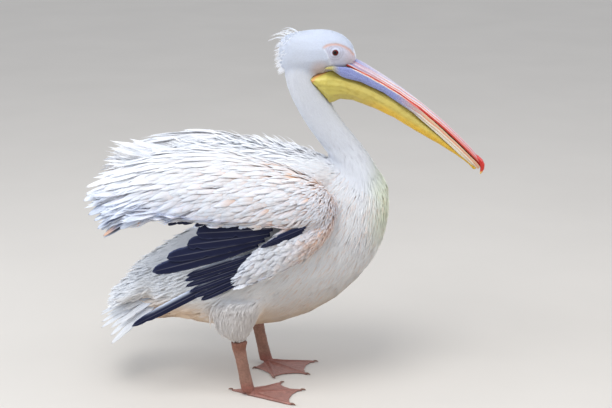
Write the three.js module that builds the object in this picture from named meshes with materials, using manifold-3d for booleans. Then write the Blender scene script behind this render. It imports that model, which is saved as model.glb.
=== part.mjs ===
// A great white pelican standing with half-lifted wings, life size, as closed solids.
// Millimetres. +X is forward (the way the bill points), +Y is the bird's left, +Z is up.
// The origin is on the floor, under the middle of the bounding box.
import * as THREE from "three";
import { mergeVertices } from "three/addons/utils/BufferGeometryUtils.js";
import Module from "manifold-3d";

const wasm = await Module();
wasm.setup();

// ---- driving dimensions -------------------------------------------------------------
const GAP = 0.35; // clearance left between neighbouring solids
const WEB = { thick: 2.6, lift: 0.9 }; // webs between the toes, carried clear of the floor
const EYE = { x: 116, y: 32.5, z: 806, radius: 10.5 };
const TOE = { hallux: 48, inner: 98, middle: 127, outer: 120 }; // toe lengths without claws
// Headings of the toes in degrees from straight ahead; inwards is positive.
const TOE_ANGLE = {
  right: { hallux: 152, inner: 40, middle: 9, outer: -31 },
  left: { hallux: 128, inner: 78, middle: 37, outer: -1 },
};
const CLAW_LENGTH = 9;

const COLOUR = {
  plumage: 0xf3ece6,
  shade: 0xe6dfdc,
  flight: 0x23232b,
  mandible: 0x9aa0bd,
  culmen: 0xe9cfc6,
  nail: 0xd8352b,
  pouch: 0xd9b93a,
  leg: 0xc27f6b,
  claw: 0x6b4a3c,
  eye: 0x2a0d0a,
};

// ---- solids and geometry --------------------------------------------------------------
const vec = (x, y, z) => new THREE.Vector3(x, y, z);
const FORWARD = vec(1, 0, 0);
const LEFT = vec(0, 1, 0);
const DOWN = vec(0, 0, -1);
const sideName = (side) => (side > 0 ? "left" : "right");

// A closed geometry as a manifold solid. A mirrored one is turned right side out.
function solidOf(geometry) {
  const plain = geometry.clone();
  plain.deleteAttribute("normal");
  plain.deleteAttribute("uv");
  const merged = mergeVertices(plain, 1e-3);
  const triVerts = new Uint32Array(merged.index.array);
  const vertProperties = new Float32Array(merged.attributes.position.array);
  const made = new wasm.Manifold(new wasm.Mesh({ numProp: 3, vertProperties, triVerts }));
  if (made.volume() > 0) return made;
  for (let i = 0; i < triVerts.length; i += 3) {
    [triVerts[i + 1], triVerts[i + 2]] = [triVerts[i + 2], triVerts[i + 1]];
  }
  return new wasm.Manifold(new wasm.Mesh({ numProp: 3, vertProperties, triVerts }));
}

function geometryOf(solid) {
  const mesh = solid.getMesh();
  const geometry = new THREE.BufferGeometry();
  geometry.setAttribute("position", new THREE.BufferAttribute(mesh.vertProperties, 3));
  geometry.setIndex(new THREE.BufferAttribute(mesh.triVerts, 1));
  geometry.computeVertexNormals();
  return geometry;
}

const join = (solids) => solids.reduce((a, b) => a.add(b));

function largestBody(solid) {
  const bodies = solid.decompose();
  return bodies.reduce((a, b) => (b.volume() > a.volume() ? b : a));
}

// ---- shape makers -----------------------------------------------------------------------
// Moves every vertex of a geometry to where the rule puts it.
function warp(geometry, rule) {
  const position = geometry.attributes.position;
  const from = new THREE.Vector3();
  for (let i = 0; i < position.count; i++) {
    from.fromBufferAttribute(position, i);
    const to = rule(from);
    position.setXYZ(i, to.x, to.y, to.z);
  }
  return geometry;
}

// A body along a spine. Each station is [x, y, z, half width, half height up, half height down];
// sections are ovals across the spine, or across the facing direction where one is given.
function loft(stations, { around = 20, along = 14, grow = 0, facing = null } = {}) {
  const spine = new THREE.CatmullRomCurve3(stations.map(([x, y, z]) => vec(x, y, z)));
  const sizes = new THREE.CatmullRomCurve3(stations.map(([, , , w, u, d]) => vec(w, u, d)));
  const tube = new THREE.CylinderGeometry(1, 1, 1, around, along);
  return solidOf(
    warp(tube, (p) => {
      const t = p.y + 0.5;
      const tangent = facing ?? spine.getTangent(t);
      const side = LEFT.clone().addScaledVector(tangent, -LEFT.dot(tangent)).normalize();
      const rise = tangent.clone().cross(side);
      const size = sizes.getPoint(t);
      const height = (p.z > 0 ? size.y : size.z) + grow;
      const end = p.y > 0.499 ? 1 : p.y < -0.499 ? -1 : 0;
      return spine
        .getPoint(t)
        .addScaledVector(side, p.x * (size.x + grow))
        .addScaledVector(rise, p.z * height)
        .addScaledVector(spine.getTangent(t), end * grow);
    }),
  );
}

// A lens-shaped lobe between an upper and a lower edge. Each rib is
// [upper x, y, z, lower x, y, z, thickness, outward bulge]; side is 1 for left, -1 for right.
function lobe(ribs, side, { around = 14, along = 14, grow = 0 } = {}) {
  const upper = new THREE.CatmullRomCurve3(ribs.map((r) => vec(r[0], side * r[1], r[2])));
  const lower = new THREE.CatmullRomCurve3(ribs.map((r) => vec(r[3], side * r[4], r[5])));
  const shape = new THREE.CatmullRomCurve3(ribs.map((r) => vec(r[6], r[7], 0)));
  const tube = new THREE.CylinderGeometry(1, 1, 1, around, along);
  return solidOf(
    warp(tube, (p) => {
      const t = p.y + 0.5;
      const top = upper.getPoint(t);
      const bottom = lower.getPoint(t);
      const across = top.clone().sub(bottom);
      const half = across.length() / 2 + grow;
      across.normalize();
      const outward = across.clone().cross(upper.getTangent(t)).normalize();
      if (outward.y * side < 0) outward.negate();
      const { x: thickness, y: bulge } = shape.getPoint(t);
      const end = p.y > 0.499 ? 1 : p.y < -0.499 ? -1 : 0;
      return top
        .add(bottom)
        .multiplyScalar(0.5)
        .addScaledVector(across, p.z * half)
        .addScaledVector(outward, p.x * (thickness / 2 + grow) + bulge * (1 - p.z * p.z))
        .addScaledVector(upper.getTangent(t), end * grow);
    }),
  );
}

// One long feather: a thin blade from root to tip, broadest past its middle and rounded at the
// tip. It sags by sag millimetres at its middle, towards the side it faces.
const BLADE = {
  thick: 2.6,
  thin: 1.3,
  rootWidth: 0.45,
  fullAt: 0.55,
  roundFrom: 0.74,
  tipWidth: 0.16,
};
function blade([rx, ry, rz, tx, ty, tz, sag], width, side, face, grow) {
  const root = vec(rx, side * ry, rz);
  const tip = vec(tx, side * ty, tz);
  const run = tip.clone().sub(root).normalize();
  const across = vec(face[0], side * face[1], face[2]).cross(run).normalize();
  const out = run.clone().cross(across).normalize();
  return solidOf(
    warp(new THREE.BoxGeometry(1, 1, 1, 6, 1, 1), (p) => {
      // stations crowd towards the tip, where the outline turns
      const t = Math.pow(p.x + 0.5, 0.7);
      const swell = THREE.MathUtils.lerp(BLADE.rootWidth, 1, Math.min(1, t / BLADE.fullAt));
      const turn = Math.max(0, (t - BLADE.roundFrom) / (1 - BLADE.roundFrom));
      const round = Math.max(BLADE.tipWidth, Math.sqrt(1 - turn * turn));
      const half = (width / 2) * swell * round + grow;
      const thickness = THREE.MathUtils.lerp(BLADE.thick, BLADE.thin, t) + 2 * grow;
      return root
        .clone()
        .lerp(tip, t)
        .addScaledVector(run, Math.abs(p.x) > 0.499 ? Math.sign(p.x) * grow : 0)
        .addScaledVector(across, p.y * 2 * half)
        .addScaledVector(out, p.z * thickness + 4 * sag * t * (1 - t));
    }),
  );
}

// A row of feathers as one scalloped sheet. Each feather is [root x, y, z, tip x, y, z, sag];
// neighbours overlap as far as the notch between their tips. The sheet sags by sag millimetres
// at its middle, towards the side it faces.
const TIP_COLUMNS = [-0.5, -0.2, 0.2]; // where each feather is cut across, from its own middle
function fan(feathers, side, face, grow, { thick = 2.6, thin = 1.2, notch = 0.87, rows = 2 } = {}) {
  const roots = feathers.map((f) => vec(f[0], side * f[1], f[2]));
  const tips = feathers.map((f) => vec(f[3], side * f[4], f[5]));
  const sags = feathers.map((f) => vec(f[6], 0, 0));
  const between = (points, u) => {
    const i = THREE.MathUtils.clamp(Math.floor(u), 0, points.length - 2);
    return points[i].clone().lerp(points[i + 1], u - i);
  };
  const out = vec(face[0], side * face[1], face[2]).normalize();
  const columns = TIP_COLUMNS.length * feathers.length;
  return solidOf(
    warp(new THREE.BoxGeometry(1, 1, 1, columns, rows, 1), (p) => {
      const column = Math.round((p.x + 0.5) * columns);
      const offset = TIP_COLUMNS[column % TIP_COLUMNS.length];
      const u = Math.floor(column / TIP_COLUMNS.length) + offset;
      const v = (p.y + 0.5) * (offset === TIP_COLUMNS[0] ? notch : 1);
      const root = between(roots, u);
      const tip = between(tips, u);
      const run = tip.clone().sub(root).normalize();
      const across = between(roots, u + 1).sub(root).normalize();
      const rim = (value) => (Math.abs(value) > 0.499 ? Math.sign(value) * grow : 0);
      const thickness = THREE.MathUtils.lerp(thick, thin, v) + 2 * grow;
      const sag = between(sags, u).x * 4 * v * (1 - v);
      return root
        .lerp(tip, v)
        .addScaledVector(run, rim(p.y))
        .addScaledVector(across, rim(p.x))
        .addScaledVector(out, p.z * thickness + sag);
    }),
  );
}

// ---- body ---------------------------------------------------------------------------------
// Egg-shaped trunk from the breast to the root of the tail: [x, y, z, half width, up, down].
function trunk(grow) {
  const profile = [
    // x, top, bottom, half width
    [241, 462, 424, 14],
    [237, 490, 392, 40],
    [222, 516, 338, 72],
    [192, 534, 286, 98],
    [140, 540, 228, 117],
    [70, 533, 181, 131],
    [-10, 512, 153, 137],
    [-90, 470, 143, 131],
    [-160, 420, 143, 113],
    [-225, 372, 158, 90],
    [-280, 332, 184, 66],
    [-318, 300, 214, 44],
    [-336, 278, 240, 16],
  ];
  const stations = profile.map(([x, top, bottom, w]) => {
    const half = (top - bottom) / 2;
    return [x, 0, (top + bottom) / 2, w, half, half];
  });
  return loft(stations, { around: 20, along: 14, grow, facing: FORWARD });
}

// The neck, from inside the head down into the breast; up is the throat side.
function neck(grow) {
  const stations = [
    [32, 0, 792, 26, 28, 26],
    [34, 0, 768, 33, 38, 34],
    [42, 0, 740, 34, 41, 39],
    [60, 0, 697, 33, 39, 40],
    [84, 0, 648, 31, 37, 36],
    [110, 0, 610, 32, 37, 35],
    [139, 0, 572, 38, 39, 36],
    [166, 0, 533, 54, 40, 44],
    [180, 0, 496, 72, 44, 60],
    [182, 0, 452, 84, 40, 70],
  ];
  return loft(stations, { around: 14, along: 13, grow });
}

function head(grow) {
  const profile = [
    // x, top, bottom, half width
    [-9, 812, 780, 8],
    [-4, 830, 764, 24],
    [14, 844, 748, 35],
    [45, 850, 742, 40],
    [80, 853, 748, 42],
    [110, 850, 757, 41],
    [134, 840, 762, 36],
    [151, 825, 765, 30],
    [161, 808, 768, 23],
    [165, 794, 774, 12],
  ];
  const stations = profile.map(([x, top, bottom, w]) => {
    const centre = bottom + (top - bottom) * 0.52;
    return [x, 0, centre, w, top - centre, centre - bottom];
  });
  return loft(stations, { around: 14, along: 11, grow, facing: FORWARD });
}

const eye = (side) => (grow) =>
  solidOf(
    new THREE.SphereGeometry(EYE.radius + grow, 10, 7).translate(EYE.x, side * EYE.y, EYE.z),
  );

// Loose plumes in a row down the back of the skull.
function crest(grow) {
  const plumes = [
    [34, 0, 832, 8, 0, 861, 0],
    [22, 0, 830, -8, 0, 856, 0],
    [10, 0, 824, -18, 0, 838, 0],
    [6, 0, 808, -21, 0, 812, 0],
    [6, 0, 790, -21, 0, 786, 0],
    [10, 0, 772, -15, 0, 758, 0],
  ];
  return fan(plumes, 1, [0, 1, 0], grow, { thick: 11, thin: 2, notch: 0.72 });
}

// ---- bill -----------------------------------------------------------------------------------
// Flat-bottomed upper mandible; the spine follows the mouth line.
function upperBill(grow) {
  const stations = [
    [128, 0, 779, 20, 13, 1.5],
    [150, 0, 770, 22.5, 20, 1.5],
    [190, 0, 752, 20.5, 16, 2],
    [228, 0, 729, 18.5, 14.5, 2],
    [264, 0, 706, 17.5, 13, 2],
    [304, 0, 677, 17.5, 11.5, 2],
    [343, 0, 646, 18, 11, 2],
    [380, 0, 614, 18.5, 10, 2],
    [412, 0, 584, 18, 9.5, 2],
    [438, 0, 558, 15, 8.5, 2],
    [452, 0, 544, 10, 7, 1.5],
  ];
  return loft(stations, { around: 10, along: 12, grow });
}

// The hooked nail that ends the upper mandible.
function nail(grow) {
  const stations = [
    [438, 0, 561, 7, 4, 5],
    [452, 0, 551, 9, 5, 8],
    [461, 0, 541, 8.5, 5, 9],
    [464, 0, 530, 6.5, 4, 7],
    [461, 0, 519, 3.5, 2.5, 4],
    [458, 0, 513, 1.4, 1.2, 1.4],
  ];
  return loft(stations, { around: 8, along: 6, grow });
}

// The two rami of the lower mandible, joined at the tip.
function lowerBill(grow) {
  const ramus = (side) =>
    loft(
      [
        [96, side * 32, 768, 4, 4, 10],
        [116, side * 30.5, 762, 4.5, 8, 14],
        [150, side * 26, 755, 4.5, 9, 13],
        [192, side * 22, 739, 4.5, 9, 10],
        [264, side * 18.5, 697, 4, 8, 8.5],
        [340, side * 17, 634, 4, 7.5, 7.5],
        [400, side * 16, 577, 4, 6.5, 6.5],
        [436, side * 10, 544, 4.5, 5, 5.5],
        [453, side * 2, 529, 4.5, 4, 4],
      ],
      { around: 7, along: 9, grow },
    );
  return join([ramus(1), ramus(-1)]);
}

// The skin bag slung between the rami and up the throat.
function pouch(grow) {
  const profile = [
    // x, top, bottom, half width
    [58, 744, 736, 26],
    [66, 750, 726, 35],
    [84, 756, 706, 37],
    [98, 760, 690, 37],
    [106, 761, 681, 34],
    [116, 758, 687, 32],
    [140, 750, 694, 29],
    [178, 734, 681, 24.5],
    [234, 705, 659, 20.5],
    [284, 670, 628, 18.5],
    [346, 621, 593, 17.5],
    [390, 580, 566, 15],
    [424, 550, 543, 10],
    [444, 532, 528, 3],
  ];
  const stations = profile.map(([x, top, bottom, w]) => {
    const centre = top - (top - bottom) * 0.42;
    return [x, 0, centre, w, top - centre, centre - bottom];
  });
  return loft(stations, { around: 12, along: 14, grow, facing: FORWARD });
}

// ---- back and wings ---------------------------------------------------------------------------
// The cape of mantle feathers over the back, between the two raised wings.
function mantle(grow) {
  const profile = [
    // x, top, bottom, half width
    [118, 534, 498, 40],
    [110, 545, 492, 68],
    [86, 557, 480, 86],
    [40, 570, 470, 93],
    [-30, 582, 470, 92],
    [-100, 588, 486, 84],
    [-170, 587, 512, 74],
    [-230, 576, 532, 58],
    [-278, 561, 542, 36],
    [-296, 553, 546, 14],
  ];
  const stations = profile.map(([x, top, bottom, w]) => {
    const centre = bottom + (top - bottom) * 0.35;
    return [x, 0, centre, w, top - centre, centre - bottom];
  });
  return loft(stations, { around: 14, along: 9, grow, facing: FORWARD });
}

// Upper arm and forearm with their coverts, from the wrist bend back past the elbow.
const arm = (side) => (grow) =>
  lobe(
    [
      [120, 116, 482, 121, 126, 452, 12, 2],
      [108, 106, 502, 108, 140, 430, 34, 6],
      [66, 94, 530, 66, 158, 430, 42, 12],
      [-7, 82, 558, -12, 170, 438, 42, 16],
      [-99, 78, 584, -98, 177, 444, 38, 18],
      [-190, 80, 596, -186, 179, 448, 32, 18],
      [-270, 88, 582, -262, 172, 462, 24, 16],
      [-330, 102, 560, -322, 158, 480, 15, 10],
      [-362, 116, 538, -356, 142, 504, 6, 3],
    ],
    side,
    { around: 10, along: 9, grow },
  );

// The hand, drooping back and down along the flank from the wrist.
const hand = (side) => (grow) =>
  lobe(
    [
      [112, 128, 470, 118, 128, 452, 12, 2],
      [92, 138, 448, 104, 138, 404, 24, 4],
      [50, 150, 430, 66, 148, 366, 26, 5],
      [0, 156, 424, 20, 152, 338, 24, 5],
      [-45, 160, 398, -35, 152, 306, 20, 4],
      [-78, 160, 358, -76, 150, 292, 14, 3],
      [-94, 158, 326, -96, 150, 298, 6, 1],
    ],
    side,
    { around: 10, along: 7, grow },
  );

// Secondaries: a row of flight feathers under the arm coverts, tips showing along the eaves.
const SECONDARIES = { count: 8, firstTip: -104, lastTip: -268, reach: 70 };
const secondaries = (side) => (grow) => {
  const feathers = [];
  for (let i = 0; i < SECONDARIES.count; i++) {
    const s = i / (SECONDARIES.count - 1);
    const tipX = THREE.MathUtils.lerp(SECONDARIES.firstTip, SECONDARIES.lastTip, s);
    const tipZ = 432 + 8 * s + 2 * Math.cos(i * 2.4);
    const rootX = tipX + SECONDARIES.reach;
    feathers.push([rootX, 168 - 5 * s, tipZ + 34, tipX, 175 - 6 * s, tipZ, 1]);
  }
  return fan(feathers, side, [0, 1, -0.15], grow, { notch: 0.82 });
};

// Tertials: the long inner feathers that droop behind the elbow. The right wing hangs wider open.
const TERTIALS = {
  right: [
    [-280, 112, 556, -446, 126, 534, 12],
    [-276, 122, 546, -452, 132, 506, 14],
    [-272, 131, 534, -450, 137, 478, 14],
    [-266, 139, 521, -440, 142, 450, 14],
    [-260, 146, 508, -424, 146, 423, 13],
    [-256, 151, 496, -405, 149, 398, 12],
    [-252, 156, 486, -366, 154, 424, 9],
    [-248, 161, 477, -330, 160, 440, 6],
  ],
  left: [
    [-280, 112, 552, -414, 126, 522, 12],
    [-276, 122, 542, -420, 132, 494, 14],
    [-272, 132, 530, -416, 138, 468, 14],
    [-266, 142, 517, -402, 144, 446, 13],
    [-258, 150, 504, -376, 150, 432, 10],
    [-248, 160, 486, -338, 160, 438, 7],
  ],
};
const tertials = (side) => (grow) =>
  fan(TERTIALS[sideName(side)], side, [0.15, 0.9, 0.5], grow, { rows: 3 });

// Inner primaries: the upper fan behind the hand, folded lower on the left wing.
const INNER_PRIMARIES = {
  right: [
    [-24, 160, 428, -196, 169, 420, 3],
    [-28, 159, 419, -206, 168, 399, 3],
    [-36, 158, 409, -240, 168, 378, 4],
    [-46, 157, 399, -276, 167, 352, 4],
    [-58, 156, 390, -298, 165, 327, 5],
  ],
  left: [
    [-26, 160, 410, -176, 160, 354, 3],
    [-32, 158, 398, -214, 158, 332, 4],
    [-42, 156, 384, -250, 156, 308, 4],
    [-52, 154, 370, -282, 153, 280, 5],
  ],
};
const innerPrimaries = (side) => (grow) =>
  fan(INNER_PRIMARIES[sideName(side)], side, [0, 1, 0], grow);

// Outer primaries: the lower fan, with the one long feather that reaches past the tail root.
const OUTER_PRIMARIES = {
  right: [
    [-64, 154, 366, -222, 158, 314, 3],
    [-68, 153, 352, -228, 156, 299, 3],
    [-74, 151, 336, -222, 155, 281, 3],
    [-80, 150, 320, -208, 153, 264, 2],
    [-86, 149, 306, -190, 151, 254, 2],
  ],
  left: [
    [-66, 152, 348, -226, 152, 274, 3],
    [-74, 151, 328, -214, 151, 256, 3],
    [-84, 149, 308, -192, 149, 246, 2],
  ],
};
const LONG_PRIMARY = {
  right: [-70, 151, 342, -353, 140, 185, 6],
  left: [-70, 150, 334, -346, 138, 190, 6],
};
const outerPrimaries = (side) => (grow) =>
  join([
    fan(OUTER_PRIMARIES[sideName(side)], side, [0, 1, 0], grow),
    blade(LONG_PRIMARY[sideName(side)], 30, side, [0, 1, 0], grow),
  ]);

// The alula, a dark tuft on the outside of the hand.
const alula = (side) => (grow) =>
  fan(
    [
      [50, 166, 433, -30, 176, 402, 2],
      [42, 166, 421, -52, 175, 388, 2],
    ],
    side,
    [0, 1, 0],
    grow,
  );

// ---- tail ----------------------------------------------------------------------------------------
// spread and droop are in degrees; the outer feathers droop lower by edgeDroop and crown.
const TAIL = {
  count: 8,
  spread: 27,
  length: 224,
  pivot: vec(-246, 0, 256),
  droop: 24,
  edgeDroop: 10,
  crown: 0.08,
};
function tail(grow) {
  const feathers = [];
  for (let i = 0; i < TAIL.count; i++) {
    const s = (2 * i) / (TAIL.count - 1) - 1;
    const turn = THREE.MathUtils.degToRad(TAIL.spread * s);
    const droop = THREE.MathUtils.degToRad(TAIL.droop + TAIL.edgeDroop * s * s);
    const length = TAIL.length * (1 - 0.02 * s * s) * (0.98 + 0.02 * Math.cos(i * 3));
    const outward = vec(
      -Math.cos(turn) * Math.cos(droop),
      Math.sin(turn),
      -Math.cos(turn) * Math.sin(droop) - TAIL.crown * s * s,
    );
    const root = TAIL.pivot.clone().addScaledVector(outward, 40);
    const tip = TAIL.pivot.clone().addScaledVector(outward, length);
    feathers.push([...root.toArray(), ...tip.toArray(), 4]);
  }
  // the coverts that hide the roots of the tail feathers, above and below
  const coverts = loft(
    [
      [-300, 0, 262, 52, 44, 44],
      [-330, 0, 248, 60, 40, 32],
      [-362, 0, 232, 64, 32, 20],
      [-392, 0, 213, 58, 18, 9],
      [-410, 0, 203, 44, 5, 3],
    ],
    { around: 8, along: 4, grow, facing: FORWARD },
  );
  return join([coverts, fan(feathers, 1, [-0.45, 0, 0.89], grow, { notch: 0.8 })]);
}

// ---- legs and feet -----------------------------------------------------------------------------------
// The right leg stands a little behind the left one.
const LEGS = {
  right: { heel: vec(-85, -104, 0), lean: -0.19 },
  left: { heel: vec(-48, 88, 0), lean: -0.2 },
};
const legOf = (side) => LEGS[sideName(side)];

// A point on the leg's axis at height z, moved forward by ahead.
function onLeg(side, z, ahead = 0) {
  const { heel, lean } = legOf(side);
  return [heel.x + lean * z + ahead, heel.y * (1 - z / 2400), z];
}

// The feathered shin that comes out of the belly.
const thigh = (side) => (grow) =>
  loft(
    [
      [...onLeg(side, 236, 30), 40, 66, 66],
      [...onLeg(side, 196, 8), 38, 54, 54],
      [...onLeg(side, 166, 0), 30, 40, 42],
      [...onLeg(side, 144, 0), 22, 27, 28],
      [...onLeg(side, 132, 2), 14, 17, 19],
    ],
    { around: 12, along: 5, grow, facing: DOWN },
  );

// The bare leg, from above the ankle joint down to the heel; up is the front.
const leg = (side) => (grow) =>
  loft(
    [
      [...onLeg(side, 156), 11, 14, 14],
      [...onLeg(side, 142), 13, 17, 16],
      [...onLeg(side, 128), 13.5, 19, 17],
      [...onLeg(side, 112), 11, 15, 17],
      [...onLeg(side, 86), 9.5, 14, 15],
      [...onLeg(side, 56), 9.5, 14, 15],
      [...onLeg(side, 28), 11, 15, 16],
      [...onLeg(side, 9), 13, 16, 16],
    ],
    { around: 10, along: 7, grow, facing: DOWN },
  );

const TOES = ["hallux", "inner", "middle", "outer"];

// Where a toe points: inwards is towards the middle of the bird.
function toeDirection(side, toe) {
  const angle = THREE.MathUtils.degToRad(TOE_ANGLE[sideName(side)][toe]);
  return vec(Math.cos(angle), -side * Math.sin(angle), 0);
}
const heel = (side) => legOf(side).heel.clone();
const toeTip = (side, toe) => heel(side).addScaledVector(toeDirection(side, toe), TOE[toe]);

// A toe: a knuckled taper along the ground.
function toeSolid(side, toe, grow) {
  const way = toeDirection(side, toe);
  const start = heel(side);
  const thick = toe === "hallux" ? 0.75 : 1;
  const knuckles = [
    [-0.02, 9.5, 11],
    [0.18, 8.5, 10],
    [0.3, 6.5, 7.5],
    [0.5, 7, 7.5],
    [0.64, 5.2, 5.6],
    [0.8, 5.8, 6],
    [0.94, 4.8, 4.8],
    [1, 3.2, 3.4],
  ];
  const stations = knuckles.map(([t, wide, tall]) => {
    const at = start.clone().addScaledVector(way, t * TOE[toe]);
    return [at.x, at.y, 0.5, wide * thick, tall * thick, 2];
  });
  return loft(stations, { around: 6, along: 6, grow });
}

// The webs: one outline through the toe tips with hollowed edges between them.
function webSolid(side, grow) {
  const tips = TOES.map((toe) => toeTip(side, toe).lerp(heel(side), 0.05));
  const start = heel(side);
  const outline = new THREE.Shape().moveTo(start.x, start.y);
  outline.lineTo(tips[0].x, tips[0].y);
  for (let i = 1; i < tips.length; i++) {
    const hollow = tips[i - 1].clone().lerp(tips[i], 0.5).lerp(start, 0.2);
    outline.quadraticCurveTo(hollow.x, hollow.y, tips[i].x, tips[i].y);
  }
  outline.closePath();
  const options = { depth: WEB.thick + grow, bevelEnabled: false, curveSegments: 3 };
  return solidOf(new THREE.ExtrudeGeometry(outline, options).translate(0, 0, WEB.lift));
}

const FLOOR_BLOCK = solidOf(new THREE.BoxGeometry(2000, 2000, 100).translate(0, 0, -50));
const foot = (side) => (grow) =>
  join([webSolid(side, grow), ...TOES.map((toe) => toeSolid(side, toe, grow))]).subtract(
    FLOOR_BLOCK,
  );

const claw = (side, toe) => (grow) => {
  const way = toeDirection(side, toe);
  const stations = [
    [-0.35, 4.2, 2.6, 2],
    [0.1, 4.2, 2.8, 2.6],
    [0.6, 3.6, 2.2, 2.2],
    [1, 1.9, 0.9, 0.9],
  ].map(([t, height, wide, tall]) => {
    const at = toeTip(side, toe).addScaledVector(way, t * CLAW_LENGTH);
    return [at.x, at.y, height, wide, tall, tall];
  });
  return loft(stations, { around: 5, along: 3, grow });
};

// ---- assembly --------------------------------------------------------------------------------------
const SIDES = [-1, 1];
const forBoth = (name, colour, makeForm) =>
  SIDES.map((side) => [`${name}_${sideName(side)}`, colour, makeForm(side)]);

// Parts in order of claim: each gives way, by the gap, to every part before it.
const forms = [
  ...forBoth("eye", COLOUR.eye, eye),
  ["bill_nail", COLOUR.nail, nail],
  ["bill_upper", COLOUR.culmen, upperBill],
  ["bill_lower", COLOUR.mandible, lowerBill],
  ["pouch", COLOUR.pouch, pouch],
  ["head", COLOUR.plumage, head],
  ["crest", COLOUR.plumage, crest],
  ["trunk", COLOUR.plumage, trunk],
  ["neck", COLOUR.plumage, neck],
  ["mantle", COLOUR.plumage, mantle],
  ...forBoth("secondaries", COLOUR.shade, secondaries),
  ...forBoth("arm", COLOUR.plumage, arm),
  ...forBoth("hand", COLOUR.plumage, hand),
  ...forBoth("alula", COLOUR.flight, alula),
  ...forBoth("tertials", COLOUR.shade, tertials),
  ...forBoth("primaries_inner", COLOUR.flight, innerPrimaries),
  ...forBoth("primaries_outer", COLOUR.flight, outerPrimaries),
  ["tail", COLOUR.plumage, tail],
  ...forBoth("thigh", COLOUR.plumage, thigh),
  ...forBoth("leg", COLOUR.leg, leg),
  ...forBoth("foot", COLOUR.leg, foot),
  ...SIDES.flatMap((side) =>
    TOES.map((toe) => [`claw_${toe}_${sideName(side)}`, COLOUR.claw, claw(side, toe)]),
  ),
];

// The neck is one length of flesh parted by a thin level cut across it.
const NECK_PART_Z = 622;
function partNeck(solid) {
  const slab = solidOf(new THREE.BoxGeometry(600, 600, GAP).translate(0, 0, NECK_PART_Z));
  const bodies = solid.subtract(slab).decompose();
  const top = (body) => body.boundingBox().max[2];
  const upper = bodies.filter((body) => top(body) > NECK_PART_Z + GAP);
  const lower = bodies.filter((body) => top(body) <= NECK_PART_Z + GAP);
  return [largestBody(join(upper)), largestBody(join(lower))];
}

const pelican = new THREE.Group();
function addPart(name, colour, solid) {
  const material = new THREE.MeshStandardMaterial({ color: colour, roughness: 0.8, metalness: 0 });
  const mesh = new THREE.Mesh(geometryOf(solid), material);
  mesh.name = name;
  pelican.add(mesh);
}

const overlaps = (a, b) =>
  [0, 1, 2].every((k) => a.min[k] <= b.max[k] && a.max[k] >= b.min[k]);

const claimed = [];
for (const [name, colour, form] of forms) {
  let solid = form(0);
  for (const earlier of claimed) {
    if (overlaps(solid.boundingBox(), earlier.boundingBox())) solid = solid.subtract(earlier);
  }
  claimed.push(form(GAP));
  if (name === "neck") {
    const [upper, lower] = partNeck(solid);
    addPart("neck_upper", colour, upper);
    addPart("neck_lower", colour, lower);
  } else {
    addPart(name, colour, largestBody(solid));
  }
}

// Set the origin under the middle of the bird.
const bounds = new THREE.Box3().setFromObject(pelican);
const middle = bounds.getCenter(new THREE.Vector3());
pelican.position.set(-middle.x, -middle.y, -bounds.min.z);
pelican.updateMatrixWorld(true);

const placed = new THREE.Group();
placed.name = "pelican";
placed.add(pelican);
export default placed;
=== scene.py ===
"""A great white pelican standing with half-lifted wings, as a still life-size model.

Every piece is built in the shared frame: metres, +X the way the bill points, +Y the bird's
left, +Z up. One skin carries the whole body; feathers are solid blades laid over it.

Tables and tests of place use the bird's own millimetres instead, which bird() and at()
turn points into and back. They start on the floor, under the bird's middle.
"""

import math

import bmesh
import bpy
import numpy as np
from bpy.props import FloatProperty, FloatVectorProperty, IntProperty, PointerProperty
from mathutils import Matrix, Vector
from mathutils.bvhtree import BVHTree


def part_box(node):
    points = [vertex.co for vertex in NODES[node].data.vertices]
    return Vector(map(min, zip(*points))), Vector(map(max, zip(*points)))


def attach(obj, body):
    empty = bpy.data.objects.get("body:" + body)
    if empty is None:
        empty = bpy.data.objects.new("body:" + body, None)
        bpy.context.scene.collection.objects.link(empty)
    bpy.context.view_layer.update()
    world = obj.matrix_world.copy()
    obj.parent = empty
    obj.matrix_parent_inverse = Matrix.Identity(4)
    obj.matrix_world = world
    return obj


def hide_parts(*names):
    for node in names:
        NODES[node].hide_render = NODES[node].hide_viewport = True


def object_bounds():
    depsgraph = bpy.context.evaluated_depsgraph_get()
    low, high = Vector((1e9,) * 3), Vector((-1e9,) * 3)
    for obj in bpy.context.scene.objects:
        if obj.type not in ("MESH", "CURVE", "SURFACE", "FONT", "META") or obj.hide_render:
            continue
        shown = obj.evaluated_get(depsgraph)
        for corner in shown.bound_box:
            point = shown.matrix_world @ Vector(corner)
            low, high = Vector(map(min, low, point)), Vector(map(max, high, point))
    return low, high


bl_info = {
    "name": "Standing Pelican",
    "version": (1, 0, 0),
    "blender": (4, 5, 0),
    "location": "View3D > Sidebar > Pelican",
    "description": "Skin, plumage, bill and feet of a life-size great white pelican",
    "category": "Add Mesh",
}

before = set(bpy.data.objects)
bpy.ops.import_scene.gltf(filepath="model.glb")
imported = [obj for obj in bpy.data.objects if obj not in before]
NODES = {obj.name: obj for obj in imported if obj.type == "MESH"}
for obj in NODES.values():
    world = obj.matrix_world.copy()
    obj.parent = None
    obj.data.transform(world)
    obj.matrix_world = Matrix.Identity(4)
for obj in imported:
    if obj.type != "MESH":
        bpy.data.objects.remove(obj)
CAD_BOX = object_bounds()
BODY = "root"
SIDES = {"right": -1, "left": 1}
MM = 0.001

# The eyes are this far ahead and up in the bird's own millimetres, which sets their start.
EYE_X, EYE_Z = 116, 806
EYE_LO, EYE_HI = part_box("eye_right")
EYE = (EYE_LO + EYE_HI) / 2
AHEAD = EYE.x - EYE_X * MM

FLESH = (
    "head neck_upper neck_lower trunk mantle arm_right arm_left hand_right hand_left "
    "thigh_right thigh_left tail"
).split()
BARE = "leg_right foot_right leg_left foot_left".split()
TAIL_PAD_END = -392 * MM + AHEAD  # where the skin of the tail ends

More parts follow.
